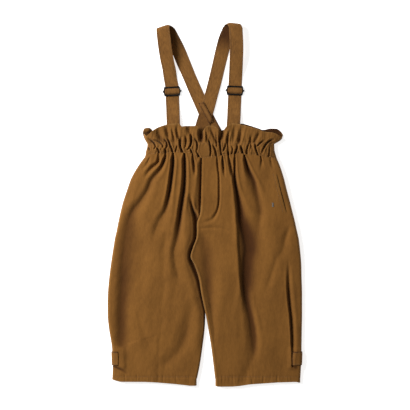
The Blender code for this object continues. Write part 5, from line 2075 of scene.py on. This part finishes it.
@dataclass
class Studio:
    """The floor, the soft lights and the camera straight above.

    Attributes:
        camera_height: the camera's height over the floor, m.
        sensor: the camera's sensor width, mm.
        key_place: where the lamp stands, m.
        key_side: the lamp's width and height, m.
        key_power: the lamp's power, W.
    """

    camera_height: float = 3.0
    sensor: float = 36.0
    key_place: tuple[float, float, float] = (-1.35, 0.62, 1.12)
    key_side: float = 0.9
    key_power: float = 58.0

    def floor(self) -> None:
        """A wide pale floor with the faintest grain."""
        bpy.ops.object.select_all(action="DESELECT")
        bpy.ops.mesh.primitive_plane_add(size=12.0, location=(0.0, 0.0, -0.0002))
        plane = bpy.context.object
        plane.name = "studio_floor"
        bpy.ops.object.transform_apply(location=True)
        material, tree, shader = new_material("pale_floor")
        place = tree.nodes.new("ShaderNodeTexCoord").outputs["Object"]
        grain = add_noise(tree, place, 3.0)
        tone = add_mix(tree, grain.outputs["Fac"], (0.93, 0.93, 0.93), (0.95, 0.95, 0.95))
        tree.links.new(tone, shader.inputs["Base Color"])
        shader.inputs["Roughness"].default_value = 1.0
        shader.inputs["Specular IOR Level"].default_value = 0.0
        shader.inputs["Emission Color"].default_value = (1.0, 1.0, 1.0, 1.0)
        shader.inputs["Emission Strength"].default_value = 0.72
        plane.data.materials.append(material)

    def lights(self) -> None:
        """A bright sky and one large soft lamp, up and to the left."""
        world = bpy.data.worlds.new("studio_sky")
        bpy.context.scene.world = world
        world.use_nodes = True
        sky = world.node_tree.nodes["Background"]
        sky.inputs["Color"].default_value = (1.0, 0.995, 0.985, 1.0)
        sky.inputs["Strength"].default_value = 0.22
        lamp = bpy.data.lights.new("soft_key", "AREA")
        lamp.shape = "RECTANGLE"
        lamp.size = self.key_side
        lamp.size_y = self.key_side
        lamp.energy = self.key_power
        lamp.color = (1.0, 0.985, 0.96)
        key = bpy.data.objects.new("soft_key", lamp)
        key.location = self.key_place
        x, y, z = self.key_place
        key.rotation_euler = (math.atan2(math.hypot(x, y), z), 0.0, math.atan2(-y, -x) - math.pi / 2)
        bpy.context.scene.collection.objects.link(key)

    def camera(self) -> None:
        """A long lens straight above, framed as the photograph is."""
        data = bpy.data.cameras.new("above")
        span = PHOTO_SIDE * MM_PER_PIXEL * MM
        data.sensor_width = self.sensor
        data.lens = self.sensor * self.camera_height / span
        eye = bpy.data.objects.new("above", data)
        eye.location = (-MIDDLE[0] * MM, (HALF_PIXEL - MIDDLE[1]) * MM, self.camera_height)
        bpy.context.scene.collection.objects.link(eye)
        bpy.context.scene.camera = eye

    def build(self) -> None:
        """Set up the studio."""
        self.floor()
        self.lights()
        self.camera()
        bpy.context.scene.view_settings.view_transform = "Standard"
        bpy.context.scene.view_settings.look = "None"


def main() -> None:
    """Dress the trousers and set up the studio."""
    logging.basicConfig(level=logging.INFO, format="%(message)s")
    bpy.ops.object.select_all(action="DESELECT")
    Studio().build()
    Leg(Side.RIGHT).build()
    Leg(Side.LEFT).build()
    WaistBand().build()
    Strap(Side.RIGHT, RIGHT_STRAP_FRONT, RIGHT_STRAP_BACK, RIGHT_SLIDER).build()
    Strap(Side.LEFT, LEFT_STRAP_FRONT, LEFT_STRAP_BACK, LEFT_SLIDER).build()
    Keeper().build()
    WireSlider(Side.RIGHT, RIGHT_SLIDER).build()
    WireSlider(Side.LEFT, LEFT_SLIDER).build()


if __name__ == "__main__":
    main()
